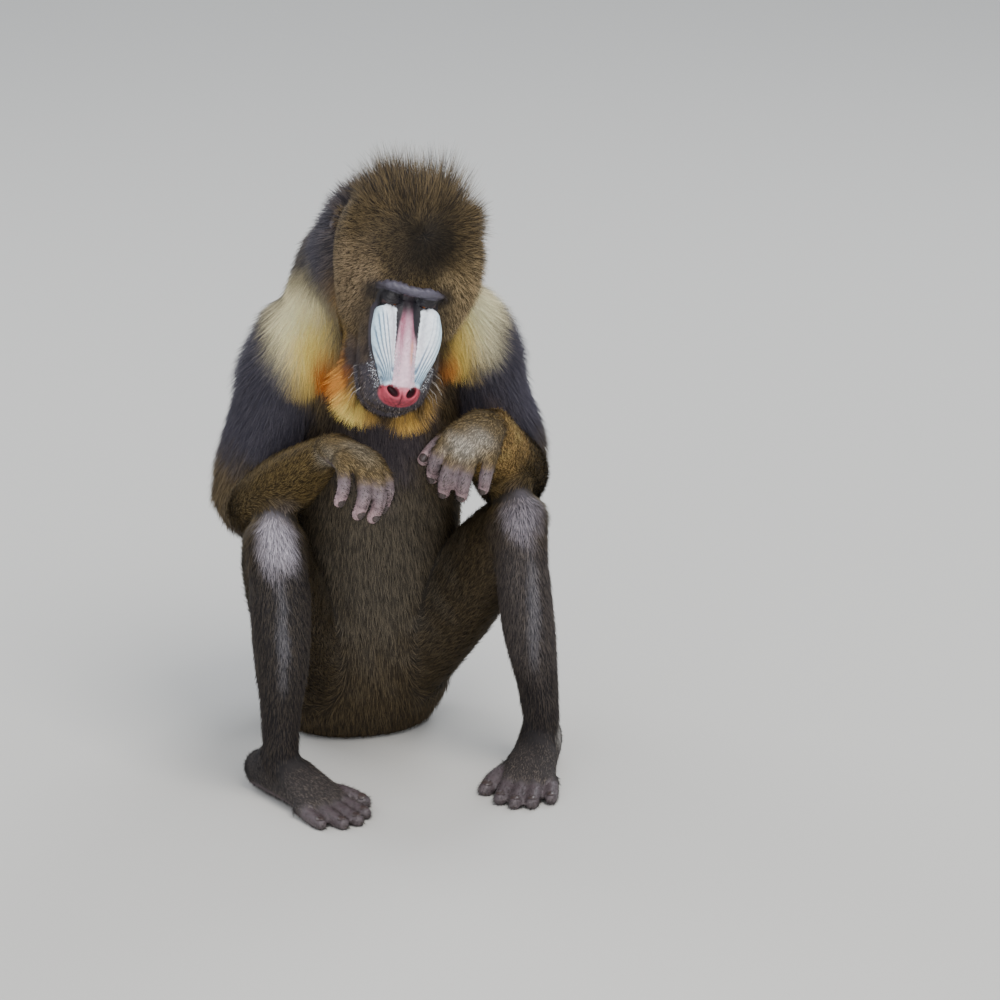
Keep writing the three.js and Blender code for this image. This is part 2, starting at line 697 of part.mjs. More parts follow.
// Jaw with its beard, neck with the nape's locks, and chest with the mantle
const jawSpace = local(jawForms(GAP));
const beardSpace = local(coatOf(JAW, BEARD, GAP));
const jaw = cutBy(local(cutBy(jawForms(0), [skullSpace, muzzleSpace])), [trunkSpace, neckSpace]);
const aroundBeard = [headSpace, trunkSpace, neckSpace, ...handSpaces];
const beard = cutBy(local(coatOf(JAW, BEARD).subtract(muzzleSpace)), aroundBeard);
keep("jaw", jaw.add(beard), AMBER);
const nape = cutBy(coatOf(NECK, NAPE), [trunkSpace, headSpace, jawSpace, ...earSpaces.map(local)]);
keep("neck", NECK.solid().subtract(trunkSpace).add(nape), OLIVE);
const neckSpaces = [neckSpace, coatOf(NECK, NAPE, GAP)];
const aroundMantle = [headSpace, jawSpace, beardSpace, ...neckSpaces, ...armSpaces, ...handSpaces];
const mantle = cutBy(coatOf(TRUNK, MANTLE), aroundMantle);
keep("chest", ahead(trunk, [0, 0, CHEST_FROM], level).add(mantle), CREAM);

const group = new THREE.Group();
for (const [name, { solid, colour, roughness }] of nodes) {
  const material = new THREE.MeshStandardMaterial({ color: colour, roughness, metalness: 0 });
  const mesh = new THREE.Mesh(geometryOf(solid), material);
  mesh.name = name;
  group.add(mesh);
}

export default group;
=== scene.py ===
import json
import math

import bpy
import numpy as np
from mathutils import Matrix, Vector

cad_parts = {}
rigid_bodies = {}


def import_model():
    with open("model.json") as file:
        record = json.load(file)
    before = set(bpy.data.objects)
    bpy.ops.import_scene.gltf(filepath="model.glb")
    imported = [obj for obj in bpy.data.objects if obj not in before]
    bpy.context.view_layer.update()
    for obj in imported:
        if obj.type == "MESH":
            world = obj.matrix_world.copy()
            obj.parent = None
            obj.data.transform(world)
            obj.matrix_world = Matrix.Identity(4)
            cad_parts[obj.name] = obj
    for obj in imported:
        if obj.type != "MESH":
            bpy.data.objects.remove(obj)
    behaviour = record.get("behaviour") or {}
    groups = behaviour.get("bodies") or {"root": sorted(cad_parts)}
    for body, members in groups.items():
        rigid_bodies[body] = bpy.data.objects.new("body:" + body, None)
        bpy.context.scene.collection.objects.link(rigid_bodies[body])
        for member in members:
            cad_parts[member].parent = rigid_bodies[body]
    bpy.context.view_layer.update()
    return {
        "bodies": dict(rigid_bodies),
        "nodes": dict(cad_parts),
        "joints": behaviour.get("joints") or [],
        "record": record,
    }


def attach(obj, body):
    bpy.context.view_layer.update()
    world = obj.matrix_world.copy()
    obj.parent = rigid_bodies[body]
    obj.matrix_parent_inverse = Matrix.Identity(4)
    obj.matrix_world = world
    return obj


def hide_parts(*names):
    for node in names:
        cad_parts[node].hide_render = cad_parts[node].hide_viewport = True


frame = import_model()

# The studio: a pale matt floor under soft lamps, seen from the animal's front right, a little from above.
# The camera stands VIEW_DISTANCE from the origin, and its aim is moved off it to the photograph's framing.
VIEW_AZIMUTH = math.radians(-15)
VIEW_ELEVATION = math.radians(20)
VIEW_DISTANCE = 7.0
AIM_RIGHT = 0.1633
AIM_UP = 0.2507
LENS = 219.13
SENSOR = 36.0
level = math.cos(VIEW_ELEVATION)
backward = Vector((math.sin(VIEW_AZIMUTH) * level, -math.cos(VIEW_AZIMUTH) * level, math.sin(VIEW_ELEVATION)))
rightward = Vector((math.cos(VIEW_AZIMUTH), math.sin(VIEW_AZIMUTH), 0))
upward = backward.cross(rightward)
camera_data = bpy.data.cameras.new("camera")
camera_data.lens = LENS
camera_data.sensor_width = SENSOR
camera_data.clip_end = 40
camera = bpy.data.objects.new("camera", camera_data)
bpy.context.collection.objects.link(camera)
camera.location = backward * VIEW_DISTANCE + rightward * AIM_RIGHT + upward * AIM_UP
camera.rotation_mode = "QUATERNION"
camera.rotation_quaternion = backward.to_track_quat("Z", "Y")
bpy.context.scene.camera = camera

world = bpy.data.worlds.new("studio")
world.use_nodes = True
world.node_tree.nodes["Background"].inputs["Color"].default_value = (0.80, 0.86, 0.95, 1)
world.node_tree.nodes["Background"].inputs["Strength"].default_value = 0.95
bpy.context.scene.world = world


def soft_light(name, place, aim, size, power, colour):
    """A large square lamp at a place, turned to its aim"""
    data = bpy.data.lights.new(name, "AREA")
    data.shape = "SQUARE"
    data.size = size
    data.energy = power
    data.color = colour
    lamp = bpy.data.objects.new(name, data)
    bpy.context.collection.objects.link(lamp)
    lamp.location = place
    lamp.rotation_mode = "QUATERNION"
    lamp.rotation_quaternion = (Vector(aim) - Vector(place)).to_track_quat("-Z", "Y")


soft_light("key_light", (0.5, -1.9, 3.2), (0, -0.1, 0.4), 1.6, 92, (1.0, 0.97, 0.93))
soft_light("fill_light", (-1.4, -2.9, 0.8), (0, -0.15, 0.4), 2.2, 38, (0.95, 0.97, 1.0))
soft_light("rim_light", (1.7, 1.5, 2.2), (0, 0, 0.5), 1.2, 30, (0.90, 0.95, 1.0))
soft_light("back_light", (-1.6, 1.9, 1.6), (0, 0, 0.4), 1.4, 24, (0.95, 0.97, 1.0))


def rgb(code):
    """A colour code as the linear light that the shaders take"""
    shares = np.array([int(code[i : i + 2], 16) for i in (1, 3, 5)]) / 255
    return np.where(shares <= 0.04045, shares / 12.92, ((shares + 0.055) / 1.055) ** 2.4)


def fill(tree, node, inputs):
    """Sets a node's inputs to values, or wires them where an output is given"""
    for socket, value in inputs.items():
        if isinstance(value, bpy.types.NodeSocket):
            tree.links.new(value, node.inputs[socket])
        else:
            node.inputs[socket].default_value = value


def add_node(tree, kind, inputs=(), **looks):
    """A shader node with its looks, values and wires"""
    node = tree.nodes.new("ShaderNode" + kind)
    for name, value in looks.items():
        setattr(node, name, value)
    fill(tree, node, dict(inputs))
    return node


def new_paint(name, inputs):
    """A material with values on its shader, its node tree and its shader"""
    paint = bpy.data.materials.new(name)
    paint.use_nodes = True
    shader = paint.node_tree.nodes["Principled BSDF"]
    fill(paint.node_tree, shader, inputs)
    return paint, paint.node_tree, shader


FLOOR_RADIUS = 16.0
bpy.ops.mesh.primitive_circle_add(vertices=96, radius=FLOOR_RADIUS, fill_type="NGON", location=(0, 0, 0))
floor = bpy.context.object
floor.name = "floor"
floor_look = {"Base Color": (*rgb("#c9c6c0"), 1), "Roughness": 0.9}
floor.data.materials.append(new_paint("pale_floor", floor_look)[0])

# The body under the coat: trunk, neck and tail, each a round form drawn out along stations in millimetres.
# A station is [x, y, z, half width, half depth]. The bare body lies under its coat by each form's own depth.
MM = 0.001


def unit(v):
    """Directions of length one"""
    return v / np.maximum(np.linalg.norm(v, axis=-1, keepdims=True), 1e-9)


def put(points, frame):
    """Places out of a frame"""
    return points @ frame[:3, :3].T + frame[:3, 3]


def take(points, frame):
    """Places seen from a frame"""
    return (points - frame[:3, 3]) @ frame[:3, :3]


def reach_of(points, middle, half=1.0):
    """Distance of points from a middle, in half sizes"""
    return np.linalg.norm((points - np.array(middle)) / np.array(half), axis=1)


def spline(stations, t):
    """Points at shares t of a smooth line through the stations"""
    ends = np.vstack([2 * stations[0] - stations[1], stations, 2 * stations[-1] - stations[-2]])
    u = np.clip(t, 0, 1) * (len(stations) - 1)
    i = np.minimum(u.astype(int), len(stations) - 2)
    f = (u - i)[:, None]
    a, b, c, d = (ends[i + k] for k in range(4))
    return b + 0.5 * f * (c - a + f * (2 * a - 5 * b + 4 * c - d + f * (3 * (b - c) + d - a)))


def smooth(x, low, high):
    """0 below low, 1 above high and an even swing between"""
    s = np.clip((x - low) / (high - low), 0, 1)
    return s * s * (3 - 2 * s)


class Form:
    """A rounded part of the body along its stations, in a frame of its own where it has one"""

    DOME = 0.12
    SLOPE = 0.01
    SAMPLES = 16
    REACH = 12
    FAR = 999.0

    def __init__(self, stations, across=(1, 0, 0), boxy=2.0, domes=(20, 20), under=0, place=None):
        self.stations = np.array(stations, float)
        self.stations[:, 3:] -= under
        self.across = np.array(across, float)
        self.boxy = boxy
        self.domes = domes
        self.place = np.array(place or Matrix())

    def section(self, t):
        """Middle, length's way, width's way, depth's way and half sizes at shares t"""
        row = spline(self.stations, t)
        ahead = spline(self.stations, t + self.SLOPE)[:, :3]
        along = unit(ahead - spline(self.stations, t - self.SLOPE)[:, :3])
        wide = unit(self.across - along * (along @ self.across)[:, None])
        return row[:, :3], along, wide, np.cross(along, wide), row[:, 3:]

    def build(self, segments, rings):
        """A ball drawn out to the form"""
        mesh, ball = new_ball(segments, rings)
        turn = np.arctan2(ball[:, 1], ball[:, 0])
        rise = 1 - np.arccos(np.clip(ball[:, 2], -1, 1)) / math.pi
        t = np.clip((rise - self.DOME) / (1 - 2 * self.DOME), 0, 1)
        low = np.clip(1 - rise / self.DOME, 0, 1) * math.pi / 2
        high = np.clip(1 - (1 - rise) / self.DOME, 0, 1) * math.pi / 2
        middle, along, wide, deep, half = self.section(t)
        shrink = (np.cos(low) * np.cos(high))[:, None]
        shift = (np.sin(high) * self.domes[1] - np.sin(low) * self.domes[0])[:, None]
        c, s = np.cos(turn), np.sin(turn)
        x = (np.sign(c) * abs(c) ** (2 / self.boxy) * half[:, 0])[:, None]
        y = (np.sign(s) * abs(s) ** (2 / self.boxy) * half[:, 1])[:, None]
        points = middle + (wide * x + deep * y) * shrink + along * shift
        write_points(mesh, put(points, self.place))
        return bpy.context.object

    def gap(self, points):
        """Distance outside the form for points within REACH of it, and FAR for the rest"""
        inside = take(points, self.place)
        room = self.stations[:, 3:].max() + max(self.domes) + self.REACH
        low = self.stations[:, :3].min(0) - room
        high = self.stations[:, :3].max(0) + room
        close = ((inside > low) & (inside < high)).all(1)
        gaps = np.full(len(points), self.FAR)
        if close.any():
            gaps[close] = self.measure(points[close])[0]
        return gaps

    def measure(self, points):
        """Distance outside the form, share of its length, turn round it and its length's way, for points"""
        inside = take(points, self.place)
        shares = np.linspace(0, 1, self.SAMPLES)
        middle, along, _, _, _ = self.section(shares)
        gaps = ((inside[:, None, :] - middle[None]) ** 2).sum(2)
        i = gaps.argmin(1)
        length = np.linalg.norm(np.diff(middle, axis=0), axis=1).mean()
        t = shares[i] + ((inside - middle[i]) * along[i]).sum(1) / length / (self.SAMPLES - 1)
        middle, along, wide, deep, half = self.section(np.clip(t, 0, 1))
        out = inside - middle
        x = (out * wide).sum(1)
        y = (out * deep).sum(1)
        ends = np.where(t < 0, self.domes[0], self.domes[1])
        over = np.maximum(abs((out * along).sum(1)) - ends, 0)
        reach = np.sqrt((x / half[:, 0]) ** 2 + (y / half[:, 1]) ** 2)
        gap = (reach - 1) * half.min(1)
        turn = np.arctan2(y / half[:, 1], x / half[:, 0])
        return gap + over, t, turn, along @ self.place[:3, :3].T


def read(values, name, kind=float):
    """A value of each vertex, edge or face of a mesh, in one row"""
    width = values[0].bl_rna.properties[name].array_length or 1
    flat = np.empty(len(values) * width, kind)
    values.foreach_get(name, flat)
    return flat


def read_points(mesh, scale=MM):
    """A mesh's points in millimetres"""
    return read(mesh.vertices, "co").reshape(-1, 3) / scale


def new_ball(segments, rings):
    """A new ball's mesh and its points, at a radius of one"""
    bpy.ops.mesh.primitive_uv_sphere_add(segments=segments, ring_count=rings, radius=1)
    mesh = bpy.context.object.data
    return mesh, read_points(mesh, 1)


def write_points(mesh, points):
    """Moves a mesh's points to places in millimetres"""
    mesh.vertices.foreach_set("co", (points * MM).astype(np.float32).ravel())
    mesh.update()


TRUNK = Form(
    [
        [0, 4, 2, 84, 66], [0, 0, 62, 112, 96], [0, -2, 150, 117, 108], [0, -12, 250, 116, 110],
        [0, -36, 345, 114, 108], [0, -64, 430, 110, 99], [0, -84, 500, 105, 88], [-2, -92, 552, 97, 75],
        [-4, -94, 596, 79, 61], [-4, -98, 624, 54, 42],
    ],
    boxy=2.2, domes=(14, 18), under=6,
)
NECK = Form(
    [
        [-2, -92, 520, 76, 66], [-4, -110, 574, 74, 68], [-4, -138, 614, 66, 60],
        [0, -162, 634, 58, 52],
    ],
    domes=(10, 10), under=3,
)
TAIL = Form(
    [
        [0, 84, 104, 21, 20], [0, 118, 136, 17, 16], [0, 128, 164, 13, 12],
    ],
    domes=(14, 14), under=4,
)

# Arms and legs. The animal rests its forearms on its thighs and sets both feet flat in front of the rump.
# Each limb is two forms that meet in the round of the elbow or knee, with a short coat all round.
LIMB_NAMES = ("right", "left")
UPPER_ARMS = {
    "right": [
        [-74, -88, 518, 41, 49], [-97, -94, 470, 45, 53], [-117, -90, 412, 43, 49],
        [-134, -80, 355, 41, 45], [-143, -70, 312, 39, 40],
    ],
    "left": [
        [77, -88, 522, 41, 49], [110, -94, 474, 46, 53], [133, -92, 412, 43, 49],
        [154, -82, 356, 42, 45], [159, -74, 316, 40, 41],
    ],
}
FOREARMS = {
    "right": [
        [-143, -78, 304, 38, 38], [-133, -122, 322, 41, 40], [-110, -172, 365, 36, 34],
        [-83, -216, 408, 26, 21],
    ],
    "left": [
        [158, -82, 310, 39, 39], [148, -122, 330, 44, 43], [118, -176, 374, 39, 38],
        [96, -224, 424, 27, 22],
    ],
}
THIGHS = {
    "right": [
        [-60, -34, 110, 56, 72], [-94, -84, 176, 50, 62], [-122, -138, 246, 43, 52],
        [-136, -180, 298, 37, 38],
    ],
    "left": [
        [60, -34, 110, 56, 72], [94, -88, 176, 50, 62], [124, -144, 246, 43, 52],
        [142, -186, 298, 36, 38],
    ],
}
SHINS = {
    "right": [
        [-136, -190, 282, 35, 36], [-136, -202, 236, 36, 39], [-136, -206, 170, 33, 40],
        [-137, -204, 104, 25, 29], [-138, -202, 58, 23, 27], [-138, -202, 34, 22, 26],
    ],
    "left": [
        [140, -196, 284, 33, 36], [140, -206, 240, 32, 38], [147, -209, 170, 31, 40],
        [158, -205, 104, 25, 29], [163, -200, 58, 23, 27], [163, -198, 34, 22, 26],
    ],
}
limbs = {}
for side in LIMB_NAMES:
    limbs["upper_" + side] = Form(UPPER_ARMS[side], across=(1, 0.2, 0), domes=(26, 30), under=4)
    limbs["fore_" + side] = Form(FOREARMS[side], across=(1, 0.6, 0), domes=(20, 4), under=4.5)
    limbs["thigh_" + side] = Form(THIGHS[side], domes=(30, 30), under=5)
    limbs["shin_" + side] = Form(SHINS[side], domes=(16, 4), under=4)

# Hands and feet: a palm or sole with four digits and a thumb or big toe, in a frame at the wrist or ankle.
# Its X runs towards the thumb, Y along the digits and Z out of the back. Digits bend down at their joints.
PALM = [
    [0, -4, 0, 25, 18], [0, 16, 0, 28, 17], [1, 40, 1, 34, 16], [0, 54, 0, 33, 12],
]
SOLE = [
    [0, -34, 21, 20, 22], [0, -14, 27, 24, 29], [1, 16, 25, 26, 27], [2, 50, 18, 30, 20],
    [0, 78, 12, 32, 14],
]
DIGIT_ROOT = 14
DIGIT_JOINTS = ((0.3, 1.0), (0.42, 1.04), (0.3, 0.98), (0.26, 0.86))
FINGERS = [
    (-25, 52, 44, 7.6, -9), (-9, 60, 54, 8.2, -3), (8, 61, 57, 8.4, 2), (24, 55, 50, 8, 8),
]
FINGER_CURL = (10, 44, 80, 104)
THUMB = (22, 30, 44, 8.6, 34)
THUMB_CURL = (16, 30, 42, 50)
TOES = [
    (-24, 72, 38, 8.2, -8), (-9, 82, 42, 8.8, -3), (6, 84, 43, 9, 1), (21, 79, 40, 9, 5),
]
TOE_CURL = (-4, 8, 6, 2)
BIG_TOE = (25, 46, 48, 11, 20)
BIG_TOE_CURL = (0, 2, 8, 12)
HANDS = {
    "right": ((-79, -220, 413), (0.4, -0.91, -0.12), (0.26, -0.02, 0.97), 1),
    "left": ((93, -229, 428), (-0.6, -0.77, -0.2), (0.08, -0.31, 0.95), -1),
}
FEET = {
    "right": ((-138, -198, 0), (0.46, -0.888, 0), (0, 0, 1), 1),
    "left": ((163, -194, 0), (-0.42, -0.907, 0), (0, 0, 1), -1),
}


def join(objects, name):
    """Joins objects into one with a name"""
    bpy.ops.object.select_all(action="DESELECT")
    for one in objects:
        one.select_set(True)
    bpy.context.view_layer.objects.active = objects[0]
    bpy.ops.object.join()
    objects[0].name = name
    return objects[0]


def limb_frame(at, along, back, inward):
    """The frame of a hand or foot. It is a mirrored one where inward is positive."""
    y = Vector(along).normalized()
    z = Vector(back)
    z = (z - y * z.dot(y)).normalized()
    x = y.cross(z) * -inward
    return Matrix((x, y, z)).transposed().to_4x4(), Vector(at)


def digit_line(digit, height, curl):
    """Stations of a finger or toe, from inside the palm to its tip"""
    x, y, length, thick, spread = digit
    place = np.array([x, y - DIGIT_ROOT, height], float)
    rows = [[*place, thick, thick]]
    for (share, wide), bend in zip(DIGIT_JOINTS, curl):
        reach = math.cos(math.radians(bend))
        turn = math.radians(spread)
        way = np.array([math.sin(turn) * reach, math.cos(turn) * reach, -math.sin(math.radians(bend))])
        place = place + way * share * length
        rows.append([*place, thick * wide, thick * wide])
    return rows


extremities = {}
digits = {}
for kind, table, plate, fingers, curl, big, big_curl, heights in (
    ("hand", HANDS, PALM, FINGERS, FINGER_CURL, THUMB, THUMB_CURL, (0, -7)),
    ("foot", FEET, SOLE, TOES, TOE_CURL, BIG_TOE, BIG_TOE_CURL, (9, 10)),
):
    for side, (at, along, back, inward) in table.items():
        turned, origin = limb_frame(at, along, back, inward)
        turned.translation = origin
        boxy, domes = (2.0, (8, 9)) if kind == "hand" else (2.3, (13, 8))
        extremities[f"{kind}_{side}"] = Form(plate, boxy=boxy, domes=domes, under=1.5, place=turned)
        lines = [digit_line(f, heights[0], curl) for f in fingers] + [digit_line(big, heights[1], big_curl)]
        digits[f"{kind}_{side}"] = [
            Form(line, domes=(0, line[0][3] * 0.75), under=0.4, place=turned) for line in lines
        ]

# The head, in a frame of its own: the brow is its origin, the nose runs along -Y and the crown along +Y.
# Skull, brow, muzzle and jaw are forms like the body's. A swelling lies each side of the nose, and the nose
# ends in a round pad. Lids are balls over the eyes, and the ears are thin shells.
BROW_AT = (4, -250, 597)
HEAD_BOW = 68
HEAD_TILT = 11
head_place = (
    Matrix.Translation(BROW_AT)
    @ Matrix.Rotation(math.radians(HEAD_TILT), 4, "Y")
    @ Matrix.Rotation(math.radians(HEAD_BOW), 4, "X")
)
head_frame = np.array(head_place)
CROWN = Form(
    [
        [0, -50, -66, 48, 29], [1, -20, -58, 64, 39], [1, 20, -44, 74, 49], [0, 60, -40, 74, 49],
        [6, 90, -38, 61, 42], [8, 106, -37, 41, 27],
    ],
    domes=(16, 8), under=1.5, place=head_place,
)
BROW = Form(
    [
        [-37, 3, -9, 2.5, 4], [-21, 1, 2, 5, 7], [0, -4, 5, 5.4, 8], [20, -4, 3, 5.2, 7],
        [37, -5, -8, 2.8, 4],
    ],
    across=(0, 1, 0), domes=(4, 4), place=head_place,
)
MUZZLE = Form(
    [
        [0, -4, -42, 36, 22], [0, -24, -34, 41, 28], [0, -58, -35, 42, 29], [0, -90, -38, 41, 28],
        [0, -113, -42, 35, 24],
    ],
    boxy=2.25, domes=(6, 18), place=head_place,
)
RIDGES = {
    side: Form(
        [
            [side * 26, -30, -12, 11, 14], [side * 27, -48, -9, 12.5, 15],
            [side * 25, -68, -10, 11, 13], [side * 20.5, -86, -12, 7.5, 10.5],
            [side * 17, -101, -15, 4.5, 7],
        ],
        domes=(11, 6), place=head_place,
    )
    for side in (-1, 1)
}
NOSE = Form(
    [
        [0, -2, -15, 9, 9], [0, -34, -10, 8, 8], [0, -74, -10, 10, 9], [0, -104, -13, 15, 12],
    ],
    domes=(6, 8), place=head_place,
)
JAW = Form(
    [
        [0, 14, -84, 40, 24], [0, -20, -79, 38, 22], [0, -58, -75, 37, 18], [0, -90, -73, 36, 15],
        [0, -112, -71, 31, 13],
    ],
    boxy=2.3, domes=(10, 12), place=head_place,
)
LIP_LINE = [(40, -50), (40, -84), (33, -111), (18, -125), (0, -130)]
UPPER_LIP = (-57, 6)
LOWER_LIP = (-68, 5)
NOSE_PAD = ((0, -112, -19), (20.5, 14, 15))
EYE_AT = (20, -11, -12)
LID_RADIUS = 12
EAR_AT = (71, 76, -64)
EAR_HALF = (5, 12, 17)
EAR_TURNS = {side: (-32, 0, 22 * side) for side in (-1, 1)}


def lip(height, thick):
    """A lip as a form round the front of the mouth"""
    line = LIP_LINE + [(-x, y) for x, y in reversed(LIP_LINE[:-1])]
    rows = [[x, y, height, thick, thick] for x, y in line]
    return Form(rows, across=(0, 0, 1), domes=(6, 6), place=head_place)


def spin(turn, size):
    """A turning about the head's X and Z"""
    about_x = Matrix.Rotation(math.radians(turn[0]), size, "X")
    return Matrix.Rotation(math.radians(turn[2]), size, "Z") @ about_x


def add_ball(at, half, turn=(0, 0, 0)):
    """An egg-shaped mass in the head's frame"""
    mesh, ball = new_ball(32, 20)
    place = np.array(head_place @ Matrix.Translation(at) @ spin(turn, 4))
    write_points(mesh, put(ball * np.array(half), place))
    return bpy.context.object


def mirrored(at, side):
    """A place on the animal's right, -1, or left, 1"""
    return np.array([side * at[0], *at[1:]])


def both(middle, *rest):
    """A table's row for the right side and the same for the left"""
    return [(mirrored(middle, side), *rest) for side in (-1, 1)]


head_forms = [CROWN, BROW, MUZZLE, *RIDGES.values(), NOSE, JAW, lip(*UPPER_LIP), lip(*LOWER_LIP)]
body_forms = [TRUNK, NECK, TAIL, *limbs.values(), *extremities.values()]
masses = [form.build(40, 48) for form in body_forms + head_forms]
masses += [form.build(16, 30) for lines in digits.values() for form in lines]
masses.append(add_ball(*NOSE_PAD))
for side in (-1, 1):
    masses.append(add_ball(mirrored(EYE_AT, side), (LID_RADIUS,) * 3))
    masses.append(add_ball(mirrored(EAR_AT, side), EAR_HALF, EAR_TURNS[side]))

# The skin: all the masses grown together into one closed surface with no seam, and flat where it rests.
# The face is divided finely for its folds, and what the coat hides is left coarse.
VOXEL = 0.0026
RELAX = 5
SKIN_TRIANGLES = 186000
FLOOR_LEVEL = 0.0
SOFTEN_ROUNDS = 60
SOFTEN_STEP = 0.6
CREASES = [
    *both((139, -196, 288), 62),
    *both((151, -76, 310), 56),
    *both((76, -88, 512), 70),
    *both((66, -40, 120), 90),
    *both((150, -199, 40), 40),
    ((-81, -216, 409), 26),
    ((95, -226, 426), 28),
    ((-3, -84, 600), 90),
    ((0, 86, 106), 40),
]
skin = join(masses, "skin")
skin.data.name = "skin"
skin.data.remesh_voxel_size = VOXEL
bpy.ops.object.voxel_remesh()
relax = skin.modifiers.new("relax", "SMOOTH")
relax.factor = 0.5
relax.iterations = RELAX
bpy.ops.object.modifier_apply(modifier="relax")


def in_head(points):
    """Places in the head's frame"""
    return take(points, head_frame)


def soften(amount, rounds):
    """Evens out the skin's creases by the amount at each point"""
    mesh = skin.data
    a, b = read(mesh.edges, "vertices", np.int64).reshape(-1, 2).T
    spots = read_points(mesh)
    size = len(spots)
    degree = np.bincount(a, minlength=size) + np.bincount(b, minlength=size)
    for _ in range(rounds):
        for axis in range(3):
            row = spots[:, axis]
            total = np.bincount(a, row[b], size) + np.bincount(b, row[a], size)
            spots[:, axis] = row + amount * SOFTEN_STEP * (total / np.maximum(degree, 1) - row)
    write_points(mesh, spots)


def refine(mask_of):
    """Divides the skin's faces where all their points pass the mask"""
    mesh = skin.data
    chosen = mask_of(read_points(mesh))
    corners = read(mesh.loops, "vertex_index", np.int64)
    starts = read(mesh.polygons, "loop_start", np.int64)
    whole = np.minimum.reduceat(chosen[corners].astype(int), starts).astype(bool)
    bpy.context.tool_settings.mesh_select_mode = (False, False, True)
    mesh.vertices.foreach_set("select", np.zeros(len(mesh.vertices), bool))
    mesh.edges.foreach_set("select", np.zeros(len(mesh.edges), bool))
    mesh.polygons.foreach_set("select", whole)
    bpy.ops.object.mode_set(mode="EDIT")
    bpy.ops.mesh.subdivide(number_cuts=1, smoothness=0)
    bpy.ops.object.mode_set(mode="OBJECT")


def on_face(points):
    """The bare face: muzzle, nose, swellings, brow and lids"""
    x, y, z = in_head(points).T
    ahead = (z > -74) & (y < 14) & (abs(x) < 52)
    return ahead & ((y > -140) & ((z > -34) | (y < -44)))


def on_front(points):
    """The face's finest parts: swellings, nose and eyes"""
    x, y, z = in_head(points).T
    fine = reach_of(np.column_stack([abs(x), y, z]), EYE_AT) < 15
    fine |= (z > -30) & (np.hypot(x / 24, (y + 112) / 17) < 1)
    for ridge in RIDGES.values():
        fine |= (ridge.gap(points) < 2.4) & (z > -16)
    return fine


spots = read_points(skin.data)
creased = np.zeros(len(spots))
for middle, reach in CREASES:
    creased = np.maximum(creased, 1 - smooth(reach_of(spots, middle) / reach, 0.55, 1))
creased *= smooth(-in_head(spots)[:, 2], 70, 90) + (spots[:, 2] < 480)
soften(np.clip(creased, 0, 1), SOFTEN_ROUNDS)
refine(on_face)
refine(on_front)

# The face's folds, worked into the skin: the swellings' grooves, nostrils, the parting of the lips, the lids'
# slit and creases, the cups of the ears, and the furrows of the brow.
GROOVES = ((0.1, 0.0), (0.48, -0.04), (0.84, 0.0), (1.2, 0.2), (1.54, 0.44), (1.86, 0.68), (2.14, 0.86))
GROOVE_SLANT = -1.25
GROOVE_DEPTH = 1.4
GROOVE_HALF = 1.05
MOUTH_AT = -63
NOSTRIL_AT = (10.2, -112)
NOSTRIL_HALF = (4.4, 7.6)
NOSTRIL_TURN = 46
NOSTRIL_DEPTH = 9
NOSTRIL_LEAN = 2.0
NOSTRIL_RIM = 0.9
SEPTUM_DEPTH = 1.2
MOUTH_DEPTH = 3.4
LID_DEPTH = 1.6
CREASE_DEPTH = 0.55
FURROW_HEIGHT = 0.8
EYE_RADIUS = 9.5
GAZE = unit(np.array([0, -0.75, 0.66]))
GAZE_UP = np.array([0, GAZE[2], -GAZE[1]])
SLIT_HALF = 9.2
SLIT_OPEN = 2.0
EAR_CUP = (8, 12)
EAR_DEPTH = 6.5


def normals_of(mesh):
    """A mesh's outward directions at its points"""
    return read(mesh.vertices, "normal").reshape(-1, 3)


def ridge_lines(points):
    """How deep in a swelling's groove points lie, from 0 to 1, and whether they lie on a swelling"""
    depth = np.zeros(len(points))
    share = np.zeros(len(points))
    for side, ridge in RIDGES.items():
        gap, t, turn, _ = ridge.measure(points)
        half = spline(ridge.stations, t)[:, 3]
        across = np.cos(turn) * side
        on = (1 - smooth(gap, 1.2, 2.6)) * smooth(np.sin(turn), -0.35, 0.05) * smooth(t, -0.14, -0.06)
        on *= 1 - smooth(t, 1.02, 1.1)
        for start, begin in GROOVES:
            miss = abs(across - start - GROOVE_SLANT * t) * half
            line = np.clip(1 - miss / GROOVE_HALF, 0, 1) * smooth(t, begin - 0.04, begin + 0.12)
            line *= 1 if side < 0 else 0.25 + 0.75 * smooth(t, 0.3, 0.6)
            depth = np.maximum(depth, line * on * smooth(1.04 - t, 0, 0.08))
        share = np.maximum(share, on)
    return depth, share


def nostril_reach(q):
    """How far points of the head's frame are from the nearer nostril's middle, 1 at its rim"""
    x = abs(q[:, 0]) - NOSTRIL_AT[0]
    y = q[:, 1] - NOSTRIL_AT[1]
    turn = math.radians(NOSTRIL_TURN)
    wide = (x * math.cos(turn) - y * math.sin(turn)) / NOSTRIL_HALF[0]
    tall = (x * math.sin(turn) + y * math.cos(turn)) / NOSTRIL_HALF[1]
    return np.where(q[:, 2] > -24, np.hypot(wide, tall), 9)


def eye_place(q):
    """Places seen from the nearer eye: sideways, up, forwards, and the distance from its middle"""
    v = np.column_stack([abs(q[:, 0]), q[:, 1:]]) - EYE_AT
    return v[:, 0], v @ GAZE_UP, v @ GAZE, np.linalg.norm(v, axis=1)


points = read_points(skin.data)
away = normals_of(skin.data)
q = in_head(points)
x, y, z = q.T
near = on_face(points) | (z > -110)
away_q = away @ head_frame[:3, :3]

groove, _ = ridge_lines(points)
q -= away_q * (groove * GROOVE_DEPTH)[:, None]

